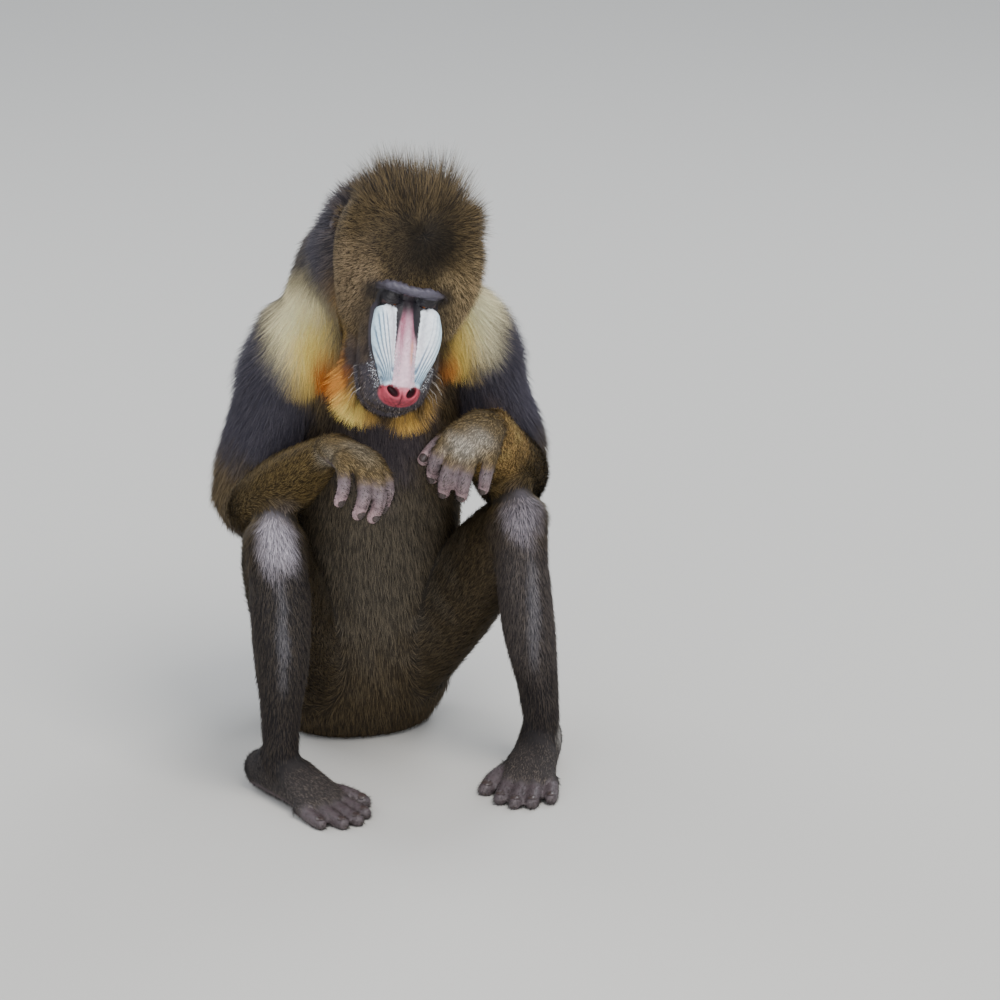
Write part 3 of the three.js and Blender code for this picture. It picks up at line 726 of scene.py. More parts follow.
reach = nostril_reach(q)
pit = np.clip(1 - reach**2, 0, 1) ** 0.6
z -= pit * NOSTRIL_DEPTH
y += pit * NOSTRIL_LEAN
rim = np.exp(-(((reach - 1.35) / 0.3) ** 2))
q += away_q * (rim * NOSTRIL_RIM)[:, None]

septum = np.exp(-((x / 1.3) ** 2)) * smooth(-y, 106, 114) * smooth(z, -60, -34)
q -= away_q * (septum * SEPTUM_DEPTH)[:, None]

mouth = np.exp(-(((z - MOUTH_AT) / 1.9) ** 2)) * smooth(-y, 40, 56) * smooth(away_q[:, 2] + 1, 0.2, 0.6)
q -= away_q * (mouth * MOUTH_DEPTH)[:, None]

side_way, up_way, gaze_way, eye_gap = eye_place(q)
slit = SLIT_OPEN * np.clip(1 - (side_way / SLIT_HALF) ** 2, 0, 1)
opened = smooth(slit - abs(up_way + 0.4), -0.3, 0.4) * (gaze_way > 0) * (eye_gap < 16)
eye_middle = np.column_stack([np.sign(x) * EYE_AT[0], *(np.full(len(q), v) for v in EYE_AT[1:])])
sunk = eye_middle + (q - eye_middle) * ((EYE_RADIUS - LID_DEPTH) / np.maximum(eye_gap, 1))[:, None]
q += (sunk - q) * opened[:, None]
crease = np.exp(-(((up_way - 5.2) / 0.7) ** 2)) + 0.7 * np.exp(-(((up_way + 5.5) / 0.8) ** 2))
crease += 0.5 * np.exp(-(((up_way - 8.2) / 0.7) ** 2))
crease *= (gaze_way > 2) * (1 - smooth(abs(side_way), 8, 12)) * (1 - smooth(eye_gap, 13.5, 16))
q -= away_q * (crease * CREASE_DEPTH)[:, None]

furrow = np.sin(x * 0.62 + np.sin(y * 0.5 + 1) * 1.4) * np.sin(x * 0.23 + y * 0.3 + 2)
furrow *= np.exp(-(((y - 1) / 8) ** 2)) * smooth(z, -18, -4) * (1 - smooth(abs(x), 30, 42))
q += away_q * (furrow * FURROW_HEIGHT)[:, None]

for side in (-1, 1):
    turned = np.array(spin(EAR_TURNS[side], 3))
    ear = (q - mirrored(EAR_AT, side)) @ turned
    cup = np.clip(1 - (ear[:, 1] / EAR_CUP[0]) ** 2 - (ear[:, 2] / EAR_CUP[1]) ** 2, 0, 1)
    outer = (ear[:, 0] * side > -1) & (abs(ear[:, 0]) < 12)
    q -= turned[:, 0] * (side * np.sqrt(cup) * outer * EAR_DEPTH)[:, None]

points = np.where(near[:, None], put(q, head_frame), points)
points[:, 2] = np.maximum(points[:, 2], FLOOR_LEVEL)
write_points(skin.data, points)

shown = on_face(points)
for lines in digits.values():
    for form in lines:
        shown |= form.gap(points) < 4
for side in (-1, 1):
    shown |= reach_of(in_head(points), mirrored(EAR_AT, side)) < 30
hidden = skin.vertex_groups.new(name="hidden")
hidden.add(np.flatnonzero(~shown).tolist(), 1.0, "REPLACE")
skin.data.calc_loop_triangles()
thin = skin.modifiers.new("thin", "DECIMATE")
thin.ratio = SKIN_TRIANGLES / len(skin.data.loop_triangles)
thin.vertex_group = "hidden"
bpy.ops.object.modifier_apply(modifier="thin")
skin.vertex_groups.clear()
bpy.ops.object.shade_smooth()

# The colour pattern, the same for skin and coat: olive back, head and limbs, slate shoulders and shins, and a
# cream, golden and orange mantle, with painted highlights and painted shade among the soft patches on the
# legs and head. A coat is [form, colour, grizzle, length, lift, way along the form], and a soft patch is
# [middle, half sizes, colour, strength, grizzle].
OLIVE = "#42331e"
DARK_OLIVE = "#413524"
GOLD_OLIVE = "#594726"
SLATE = "#45424d"
CREAM = "#fff2c2"
GOLD = "#ffd96c"
ORANGE = "#c86417"
COATS = {
    "trunk": (TRUNK, DARK_OLIVE, 0.6, 19, 17, -1),
    "neck": (NECK, SLATE, 0.35, 32, 16, -1),
    "tail": (TAIL, DARK_OLIVE, 0.5, 26, 26, 1),
    "head": (CROWN, OLIVE, 1.5, 9.5, 30, 0),
    "muzzle": (MUZZLE, "#5c4d3e", 1.2, 10, 20, 0),
    "jaw": (JAW, "#fbc45c", 0.25, 37, 38, 0),
}
for kind, forms, codes, mottle, length, rise in (
    ("upper_", limbs, (SLATE, SLATE), 0.3, 30, 12),
    ("fore_", limbs, (GOLD_OLIVE, GOLD_OLIVE), 1.2, 12, 18),
    ("thigh_", limbs, (DARK_OLIVE, DARK_OLIVE), 0.5, 17, 14),
    # The right shin's coat is a darker copy of the left's, painted shade on that leg.
    ("shin_", limbs, ("#352f2e", "#484140"), 0.5, 13, 13),
    ("hand_", extremities, ("#7b6745", "#7b6745"), 1.0, 9, 18),
    ("foot_", extremities, ("#544c4a", "#544c4a"), 0.9, 8, 15),
):
    for side, code in zip(LIMB_NAMES, codes):
        COATS[kind + side] = (forms[kind + side], code, mottle, length, rise, 1)
PATCHES = [
    ((0, 20, 560), (160, 130, 160), SLATE, 0.9, 0.3),
    ((0, -70, 640), (80, 70, 60), "#463b2c", 0.8, 0.6),
    ((0, 50, 330), (80, 160, 210), OLIVE, 0.6, 0.8),
    ((0, -110, 260), (90, 70, 170), "#5f574c", 0.8, 0.5),
    ((0, -160, 400), (66, 44, 96), "#4b434a", 0.9, 0.25),
    *both((154, -84, 338), (64, 80, 54), "#5a4a30", 0.85, 0.8),
    ((-64, -126, 546), (28, 50, 50), "#c4b184", 0.8, 0.25),
    ((-86, -136, 546), (29, 62, 54), CREAM, 1.0, 0.2),
    ((96, -136, 544), (27, 60, 50), CREAM, 0.95, 0.2),
    ((-76, -148, 514), (23, 50, 54), GOLD, 0.92, 0.15),
    ((78, -150, 512), (21, 50, 46), GOLD, 0.92, 0.15),
    ((-65, -154, 492), (15, 42, 36), ORANGE, 0.95, 0.2),
    ((66, -158, 492), (12, 40, 26), ORANGE, 0.7, 0.2),
    ((112, -190, 396), (52, 60, 52), "#c29c60", 0.9, 1.2),
    ((138, -92, 430), (50, 60, 60), "#545160", 0.7, 0.3),
    ((-66, -250, 410), (34, 30, 22), "#a79f8e", 0.5, 0.8),
    ((-92, -226, 400), (16, 20, 16), "#a79f92", 0.5, 0.7),
    ((62, -268, 418), (32, 22, 24), "#c5beb2", 0.7, 0.6),
]
# Painted highlights and painted shade on the legs.
LEG_PATCHES = [
    # Painted highlights: a pale patch on top of each knee, lighter on the right knee.
    ((-139, -218, 320), (25, 44, 44), "#beb6c0", 0.95, 0.4),
    ((139, -218, 320), (22, 40, 38), "#8d868f", 0.9, 0.5),
    # A painted highlight: a thin pale streak down the front of each shin.
    *both((142, -246, 222), (8, 20, 96), "#85838a", 0.42, 0.4),
    # Painted shade: the lower shins and the feet are darkened towards the floor.
    *both((146, -200, 84), (60, 60, 80), "#2b2526", 0.85, 0.5),
    # A painted highlight on the outer side of the left ankle.
    ((188, -186, 44), (16, 34, 26), "#b9b4ae", 0.7, 0.6),
]
HEAD_PATCHES = [
    ((8, 48, 10), (56, 40, 44), "#150c04", 0.98, 0.4),
    ((-16, 26, 6), (14, 24, 20), "#2b2014", 0.6, 0.8),
    ((0, 126, -34), (84, 40, 60), "#35260f", 0.75, 0.9),
    ((-38, 54, -14), (34, 38, 40), "#3a2c18", 0.55, 1.3),
    ((-62, 2, -22), (38, 54, 52), "#6d5b46", 0.9, 1.8),
    ((62, 2, -22), (38, 54, 52), "#837053", 0.9, 1.8),
    *both((43, -30, -26), (12, 40, 22), "#453a30", 0.6, 0.7),
    # Painted shade: near black beside the brow's ends, where the eye sockets lie in shadow.
    *both((36, -2, -10), (17, 13, 18), "#1d1819", 0.85, 0.4),
    *both((44, -72, -44), (26, 26, 26), "#40373a", 0.9, 0.4),
    ((-48, -58, -84), (20, 26, 24), "#4b3d31", 0.8, 0.5),
    # Painted shade: dark brown under the middle of the chin, between the beard's lobes.
    ((0, -112, -80), (19, 44, 40), "#3a2c22", 0.95, 0.4),
    *both((76, 80, -62), (7, 9, 10), "#d8d2c6", 0.7, 0.3),
    # Painted shade: dark slate brown over the left side of the beard.
    ((48, -84, -88), (32, 66, 44), "#3f3531", 0.97, 0.5),
    # Painted light: the beard's right lobe is lighter yellow than the rest of the beard.
    ((-30, -104, -82), (22, 32, 28), "#ffe07e", 0.8, 0.12),
    ((-50, -92, -84), (18, 34, 30), "#d97d26", 0.9, 0.2),
]


def paint(base, grizzle, places, patches, part=1.0):
    """Lays soft patches with uneven edges over the base colours, in place"""
    x, y, z = places.T
    uneven = 0.09 * np.sin(x * 0.17 + z * 0.11) + 0.08 * np.sin(y * 0.19 - z * 0.13 + 1)
    uneven = uneven + 0.05 * np.sin(z * 0.31 + x * 0.2)
    for middle, half, colour, strength, mottle in patches:
        reach = reach_of(places, middle, half) + uneven
        amount = strength * part * (1 - smooth(reach, 0.4, 1.25))
        base += (rgb(colour) - base) * amount[:, None]
        grizzle += (mottle - grizzle) * amount


points = read_points(skin.data)
away = normals_of(skin.data)
q = in_head(points)
x, y, z = q.T
away_q = away @ head_frame[:3, :3]
share = {}
for name, (form, *_) in COATS.items():
    gaps, t, turn, along = form.measure(points)
    share[name] = (np.exp(-np.maximum(gaps, 0) / 5), t, turn, along, gaps)
total = sum(s[0] for s in share.values()) + 1e-12
owner_names = list(COATS)
owner = np.array([share[name][4] for name in owner_names]).argmin(0)
colour = np.zeros((len(points), 3))
grizzle = np.zeros(len(points))
hair = np.zeros(len(points))
lift = np.zeros(len(points))
flow = np.zeros((len(points), 3))
map_place = np.zeros((len(points), 3))
WHORL = np.array([10, 58, 8])
radial = q - WHORL
radial[:, 2] *= 0.5
radial[:, 2] -= 26 * smooth(abs(x), 30, 76) + 30 * smooth(-y, -20, 50)
radial[:, 1] += 70 * smooth(y, 70, 100)
down_face = np.column_stack([x * 0.75, np.full(len(q), -34.0), np.full(len(q), -8.0)])
head_way = unit(radial) @ head_frame[:3, :3].T
jaw_way = unit(down_face) @ head_frame[:3, :3].T
for i, (name, (form, code, mottle, length, rise, way)) in enumerate(COATS.items()):
    weight, t, turn, along, _ = share[name]
    weight = weight / total
    colour += rgb(code) * weight[:, None]
    grizzle += mottle * weight
    hair += length * weight
    lift += rise * weight
    heading = along * way
    if name in ("head", "muzzle"):
        heading = head_way
    if name == "jaw":
        heading = jaw_way
    flow += heading * weight[:, None]
    mine = owner == i
    map_place[mine] = np.column_stack([np.cos(turn), np.sin(turn), np.clip(t, -0.2, 1.2)])[mine]
paint(colour, grizzle, points, PATCHES)
paint(colour, grizzle, q, HEAD_PATCHES)
leg_part = sum(share[name][0] for name in COATS if name[:5] in ("thigh", "shin_", "foot_")) / total
paint(colour, grizzle, points, LEG_PATCHES, leg_part)

# Where the coat is long: the mantle hangs over the chest and shoulders, and the crest stands up.
MANTLE_LENGTH = 40
CREST_LENGTH = 50
CREST_LIFT = 38
TEMPLE_LIFT = 33
FACE_LENGTH = 7
mantle = np.zeros(len(points))
for side in (-1, 1):
    reach = reach_of(points, (side * 85, -140, 536), (45, 64, 66))
    mantle = np.maximum(mantle, 1 - smooth(reach, 0.7, 1.15))
mantle *= share["neck"][4] > -20
hair += (MANTLE_LENGTH - hair) * mantle
lift += (11 + 8 * smooth(abs(points[:, 0]), 84, 124) - lift) * mantle
for side in (-1, 1):
    reach = reach_of(points, (side * 118, -92, 500), (50, 70, 60))
    lift += 14 * (1 - smooth(reach, 0.6, 1.1)) * (1 - mantle)
outward = np.zeros((len(points), 3)) + (0, -0.1, -1.0)
outward[:, 0] = np.sign(points[:, 0]) * 0.3
flow += (outward - flow) * mantle[:, None]
crown_share = share["head"][0] / total
crest = crown_share * smooth(y, 66, 104)
hair += (CREST_LENGTH - hair) * crest
lift += (CREST_LIFT - lift) * crest
temple = crown_share * smooth(abs(x), 36, 68) * smooth(z, -76, -50)
hair += (18 + 9 * np.tanh(x / 20) - hair) * temple
lift += (TEMPLE_LIFT - lift) * temple
leaning = crown_share * smooth(x, 14, 50) * smooth(y, 50, 90)
hair += 14 * leaning
lift += 8 * leaning
near_face = crown_share * (1 - smooth(np.hypot(x, y + 8), 34, 74)) * smooth(z, -70, -40)
hair += (FACE_LENGTH - hair) * near_face
parting = 0.55 * (owner == owner_names.index("jaw")) * np.exp(-(((x + 3) / 17) ** 2))
hair *= 1 - parting * smooth(-y, 70, 100)
for side in (-1, 1):
    knee = 1 - smooth(reach_of(points, (side * 139, -196, 300)), 30, 66)
    flow += (np.array([0, -0.25, -1.0]) - flow) * knee[:, None]
flow -= away * (flow * away).sum(1)[:, None]
flow = unit(flow)

# Bare skin: face, ears, digits, palms and soles, and the rump's coloured seat, with painted shade round the
# eyes, at the top of the nose, down the septum, in the nostrils and along the mouth
FACE_BLACK = "#39333a"
RIDGE_BLUE = "#f3f9ff"
RIDGE_CYAN = "#b3e2f4"
GROOVE_BLUE = "#4d6c8a"
NOSE_PINK = "#e6c2ce"
NOSE_STREAK = "#93425a"
NOSE_RED = "#b34452"
NOSTRIL_SHADE = "#37151b"
BROW_SLATE = "#504c57"
DIGIT_GREY = "#77686b"
DIGIT_PINK = "#b29294"
FOOT_DARK = "#544a4c"
SEAT_PINK = "#c07086"
SEAT_BLUE = "#8088bb"
bare = np.zeros(len(points))


def lay(mask, code):
    """Colours bare skin by a mask"""
    mask = np.clip(mask, 0, 1)
    colour[:] += (rgb(code) - colour) * mask[:, None]
    bare[:] = np.maximum(bare, mask)


def beside(gaps, near, far):
    """1 on a form's surface and 0 a little way off it"""
    return 1 - smooth(gaps, near, far)


front = smooth(z, -80, -68) * smooth(-y, -2, 8)
muzzle_gap = MUZZLE.measure(points)[0]
ridge_gap = np.minimum(*(ridge.gap(points) for ridge in RIDGES.values()))
face = front * beside(muzzle_gap, 4, 8) * smooth(-y, 68, 86)
face = np.maximum(face, beside(ridge_gap, 2.5, 6) * smooth(z, -34, -26))
face = np.maximum(face, beside(abs(x), 22, 30) * smooth(z, -30, -24) * smooth(-y, -4, 4))
lay(face, FACE_BLACK)
brow_gap = BROW.measure(points)[0]
lay(beside(brow_gap, 1.5, 4.5) * smooth(away_q[:, 2], -0.6, -0.1) * beside(abs(x), 34, 43), FACE_BLACK)
lay(beside(brow_gap, 1.0, 3.5) * smooth(away_q[:, 2], -0.3, 0.5) * beside(abs(x), 24, 38), BROW_SLATE)
side_way, up_way, gaze_way, eye_gap = eye_place(q)
# Painted shade: the lids and the sockets round the eyes are near black, darker than the face's black skin.
lay(beside(eye_gap, 13.5, 19) * (y < 4) * smooth(brow_gap, 0.5, 2.5), "#171215")
lay(beside(eye_gap, 11.9, 12.4) * beside(abs(up_way + 0.4), 2.0, 3.2) * (gaze_way > 5), "#3d2a2b")
strip = beside(NOSE.measure(points)[0], 1.2, 3.6) * smooth(z, -22, -12)
lay(strip, NOSE_PINK)
lay(strip * (1 - smooth(-y, 34, 66)) * 0.55, "#8e4560")
streaked = 0.75 + 0.25 * np.sin(x * 4.2 + np.sin(y * 0.21) * 2)
edge = np.exp(-(((abs(x) - 6.2) / 3.0) ** 2)) * (1 - 0.85 * smooth(-y, 44, 96))
lay(strip * edge * streaked, NOSE_STREAK)
flecks = np.sin(x * 2.3 + 1.7 * np.sin(y * 0.55))
flecks *= np.sin(y * 1.3 + 2 * np.sin(x * 0.9))
lay(strip * smooth(flecks, 0.1, 0.8) * beside(-y, 60, 100) * 0.4, "#b06a84")
scar = strip * np.exp(-(((x - 6) / 2) ** 2)) * smooth(-y, 52, 62)
lay(scar * beside(-y, 74, 88) * 0.8, "#dd9a80")
# Painted shade: the top of the nose strip under the brow is near black.
lay(strip * (1 - smooth(-y, 18, 40)), "#20131a")
tapered = smooth(-y - x * 0.8, 22, 62)
wedge = smooth(abs(x + 1.2 * (1 - tapered)) - 5.2 - 5.2 * tapered, -0.8, 1.4) * beside(-y, 46, 66)
wedge *= smooth(brow_gap, 0.5, 2.5)
lay(wedge * beside(abs(x), 13, 17) * smooth(-y, 2, 8) * smooth(z, -30, -22), "#17131a")
groove, ridge_share = ridge_lines(points)
lay(smooth(ridge_share, 0.2, 0.6), RIDGE_BLUE)
lay(ridge_share * smooth(abs(x), 24, 38) * 0.6, RIDGE_CYAN)
lay(ridge_share * smooth(-y, 70, 98) * 0.5, RIDGE_CYAN)
lay(groove**0.6 * 0.95, GROOVE_BLUE)
pad = reach_of(q, NOSE_PAD[0], np.array(NOSE_PAD[1]) + 1.2)
lay(beside(pad, 1.0, 1.16) * smooth(-y + abs(x) * 0.5, 99, 110), NOSE_RED)
lay(beside(pad, 1.0, 1.1) * beside(-y + abs(x) * 0.6, 104, 120) * 0.7, "#e39aa8")
blotches = 0.6 + 0.4 * np.sin(x * 0.9 + 2) * np.sin(z * 0.8)
lay(beside(pad, 1.0, 1.12) * smooth(-y, 113, 124) * blotches * 0.8, "#6d2c38")
# Painted shade: a dark line down the septum between the nostrils.
lay(np.exp(-(((x + 1) / 1.3) ** 2)) * beside(pad, 1, 1.1) * smooth(-y, 110, 117) * 0.8, "#4d1a24")
# Painted shade: the inside of each nostril is dark maroon.
lay(beside(nostril_reach(q), 0.8, 1.15), NOSTRIL_SHADE)
# Painted shade: a near-black line along the parting of the lips.
lay(np.exp(-(((z - MOUTH_AT) / 2.4) ** 2)) * smooth(-y, 40, 56) * (face > 0.1), "#120d10")
for side in (-1, 1):
    ear_gap = reach_of(q, mirrored(EAR_AT, side), (13, 18, 22))
    lay(beside(ear_gap, 0.85, 1.1) * smooth(share["head"][4], 1.5, 5), "#43383b")
for key, lines in digits.items():
    for form in lines:
        gap, t, _, _ = form.measure(points)
        begin = 0.3 if "hand" in key else 0.2
        shown = beside(gap, 1.5, 5) * smooth(t, begin, begin + 0.24)
        lay(shown, DIGIT_GREY if "hand" in key else FOOT_DARK)
        lay(shown * smooth(t, 0.55, 0.9) * 0.8, DIGIT_PINK if "hand" in key else FOOT_DARK)
        joints = np.exp(-(((t - 0.5) / 0.035) ** 2)) + np.exp(-(((t - 0.76) / 0.03) ** 2))
        lay(shown * joints * 0.55, "#54464a")
for key, form in extremities.items():
    gap, t, _, _ = form.measure(points)
    under = away @ form.place[:3, 2]
    heel = smooth(t, 0.25, 0.45) if "hand" in key else 1
    lay(beside(gap, 3, 8) * smooth(-under, 0.25, 0.6) * heel, "#54474a")
lay((points[:, 2] < 0.5) * 1.0, FOOT_DARK)
seat = [
    *both((44, 88, 84), (50, 56, 56), SEAT_BLUE),
    *both((22, 90, 92), (26, 50, 40), "#a183b4"),
    ((0, 96, 60), (24, 44, 46), SEAT_PINK),
    *both((34, 70, 16), (30, 44, 26), "#9c7378"),
]
for middle, half, code in seat:
    reach = reach_of(points, middle, half)
    lay(beside(reach, 0.7, 1.05) * smooth(points[:, 1], 40, 60), code)
# Painted shade: the skin under the coat is darkened to a third of its colour, a painted shadow between the
# hairs. Bare skin keeps its colour, and the mantle's skin about two thirds of it.
tone = colour * (0.34 + 0.66 * np.maximum(bare, 0.5 * mantle))[:, None]


def mark(mesh, tones):
    """Writes colours on a mesh's points, with the painted light and shade where the skin and coat have it"""
    layer = mesh.color_attributes.new("markings_and_painted_light", "FLOAT_COLOR", "POINT")
    layer.data.foreach_set("color", np.column_stack([tones, np.ones(len(tones))]).astype(np.float32).ravel())


mark(skin.data, tone)
layer = skin.data.attributes.new("bare", "FLOAT", "POINT")
layer.data.foreach_set("value", bare.astype(np.float32))

mottling = bpy.data.node_groups.new("mottling", "ShaderNodeTree")
for socket, kind, way in (
    ("Color", "NodeSocketColor", "INPUT"), ("Vector", "NodeSocketVector", "INPUT"),
    ("Scale", "NodeSocketFloat", "INPUT"), ("Darkest", "NodeSocketFloat", "INPUT"),
    ("Lightest", "NodeSocketFloat", "INPUT"), ("Color", "NodeSocketColor", "OUTPUT"),
    ("Height", "NodeSocketFloat", "OUTPUT"),
):
    mottling.interface.new_socket(socket, in_out=way, socket_type=kind)
taken = mottling.nodes.new("NodeGroupInput").outputs
given = mottling.nodes.new("NodeGroupOutput")
speckle = add_node(mottling, "TexNoise", {"Detail": 4, "Vector": taken["Vector"], "Scale": taken["Scale"]})
ends = {"From Min": 0.3, "From Max": 0.7, "To Min": taken["Darkest"], "To Max": taken["Lightest"]}
swing = add_node(mottling, "MapRange", {"Value": speckle.outputs["Fac"], **ends})
dimming = {0: taken["Color"], "Scale": swing.outputs["Result"]}
dimmed = add_node(mottling, "VectorMath", dimming, operation="SCALE")
fill(mottling, given, {"Color": dimmed.outputs["Vector"], "Height": speckle.outputs["Fac"]})


def mottled_colours(tree, shader, scale, darkest, lightest):
    """Paints a material with the colour attribute and its painted light and shade, broken up by the group's
    noise, and gives its height and place
    """
    marks = add_node(tree, "Attribute", attribute_name="markings_and_painted_light").outputs["Color"]
    where = add_node(tree, "TexCoord").outputs["Object"]
    values = {"Scale": scale, "Darkest": darkest, "Lightest": lightest, "Color": marks, "Vector": where}
    mottled = add_node(tree, "Group", values, node_tree=mottling).outputs
    fill(tree, shader, {"Base Color": mottled["Color"]})
    return mottled["Height"], where


skin_paint, tree, shader = new_paint("bare_skin", {"Specular IOR Level": 0.4})
height, where = mottled_colours(tree, shader, 260, 0.84, 1.14)
shows = add_node(tree, "Attribute", attribute_name="bare").outputs["Fac"]
gloss = add_node(tree, "MapRange", {"To Min": 0.95, "To Max": 0.5, "Value": shows})
pores = add_node(tree, "TexVoronoi", {"Scale": 700, "Vector": where})
mixing = {0: pores.outputs["Distance"], 1: 0.5, 2: height}
relief = add_node(tree, "Math", mixing, operation="MULTIPLY_ADD")
bump = add_node(tree, "Bump", {"Strength": 0.35, "Distance": 0.0006, "Height": relief.outputs["Value"]})
fill(tree, shader, {"Roughness": gloss.outputs["Result"], "Normal": bump.outputs["Normal"]})
skin.data.materials.clear()
skin.data.materials.append(skin_paint)
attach(skin, "root")
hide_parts(*(name for name in frame["nodes"] if not name.startswith("eye_")))

# The eyes: amber balls with a clear bulge over a dark pupil, set deep under the lids, looking down.
IRIS_HALF = 5.6
PUPIL_HALF = 2.3
BULGE = 0.7
EYE_COLOURS = ("#0b0807", "#8a4f1c", "#1d130e")
eye_paint, tree, shader = new_paint("wet_eye", {"Roughness": 0.08, "Coat Weight": 0.6})
marks = add_node(tree, "Attribute", attribute_name="markings_and_painted_light").outputs["Color"]
fill(tree, shader, {"Base Color": marks})
for side, name in ((-1, "right"), (1, "left")):
    mesh, ball = new_ball(48, 32)
    eyeball = bpy.context.object
    eyeball.name = "eyeball_" + name
    off = np.degrees(np.arccos(np.clip(ball @ GAZE, -1, 1))) * EYE_RADIUS * math.pi / 180
    size = EYE_RADIUS + BULGE * (1 - smooth(off, 0, IRIS_HALF + 1))
    places = ball * size[:, None] + mirrored(EYE_AT, side)
    write_points(mesh, put(places, head_frame))
    pupil, iris, white = (rgb(code) for code in EYE_COLOURS)
    streaks = 0.8 + 0.3 * np.sin(np.arctan2(ball[:, 0], ball @ GAZE_UP) * 23)
    look = iris * streaks[:, None]
    look += (pupil - look) * (1 - smooth(off, PUPIL_HALF - 0.3, PUPIL_HALF + 0.3))[:, None]
    look += (white - look) * smooth(off, IRIS_HALF - 0.5, IRIS_HALF + 0.4)[:, None]
    mark(mesh, look)
    bpy.ops.object.shade_smooth()
    mesh.materials.append(eye_paint)
    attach(eyeball, "root")
    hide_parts("eye_" + name)

# Nails: a curved plate of dark horn on the back of each digit's tip, sunk a little into the skin.
NAIL_LENGTH = 5.2
NAIL_SHARE = 0.9
NAIL_THICK = 1.1
NAIL_WIDE = 0.72
NAIL_HEIGHT = 0.93
nail_paint, tree, shader = new_paint("horn", {"Roughness": 0.32})
where = add_node(tree, "TexCoord").outputs["Object"]
grain = add_node(tree, "TexNoise", {"Scale": 500, "Vector": where})
ramp = add_node(tree, "ValToRGB", {"Fac": grain.outputs["Fac"]})
for stop, code in zip(ramp.color_ramp.elements, ("#241d1d", "#5b4c49")):
    stop.color = (*rgb(code), 1)
fill(tree, shader, {"Base Color": ramp.outputs["Color"]})
for kind, name, slot in (("hand", "fingernails", "hand_skin"), ("foot", "toenails", "foot_skin")):
    plates = []
    for side in LIMB_NAMES:
        for form in digits[f"{kind}_{side}"]:
            mesh, ball = new_ball(16, 10)
            middle, along, wide, deep, half = (row[0] for row in form.section(np.array([NAIL_SHARE])))
            x = ball[:, :1] * half[0] * NAIL_WIDE
            y = ball[:, 1:2] * NAIL_LENGTH + 1.5
            z = ball[:, 2:] * NAIL_THICK - x**2 / half[0] * 0.5 + half[1] * NAIL_HEIGHT
            places = middle + wide * x + along * y - deep * z
            write_points(mesh, put(places, form.place))
            plates.append(bpy.context.object)
    nails = join(plates, name)
    bpy.ops.object.mode_set(mode="EDIT")
    bpy.ops.mesh.select_all(action="SELECT")
    bpy.ops.mesh.normals_make_consistent(inside=False)
    bpy.ops.object.mode_set(mode="OBJECT")
    bpy.ops.object.shade_smooth()
    nails.data.materials.append(nail_paint)
    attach(nails, "root")

# The coat: tapered tufts of hair, three-sided and sunk at the root. Each lies along the body's flow, rises
# from the skin by its lift and bends back over. Long hair has more rows of corners along it.
FLAT = 0.55
SINK = 1.2
PATCH = 0.0015
FLOOR_CLEAR = 0.3
TICKING = rgb("#cbb684")
TICKED = 0.45
TAPER = 0.75
ROUNDING = 0.8
LIFT_SPREAD = 5
BRIGHTEST = 0.97
CORNERS = np.radians([90, 210, 330])
skin.data.calc_loop_triangles()
skin_faces = read(skin.data.loop_triangles, "vertices", np.int64).reshape(-1, 3)
corner = points[skin_faces]
face_area = np.linalg.norm(np.cross(corner[:, 1] - corner[:, 0], corner[:, 2] - corner[:, 0]), axis=1) / 2
furred = 1 - smooth(bare[skin_faces].mean(1), 0.25, 0.6)
furred *= smooth(corner[:, :, 2].min(1), 1.5, 6)

fur_paint, tree, shader = new_paint("fur", {"Roughness": 0.55, "Specular IOR Level": 0.22})
mottled_colours(tree, shader, 900, 0.8, 1.2)


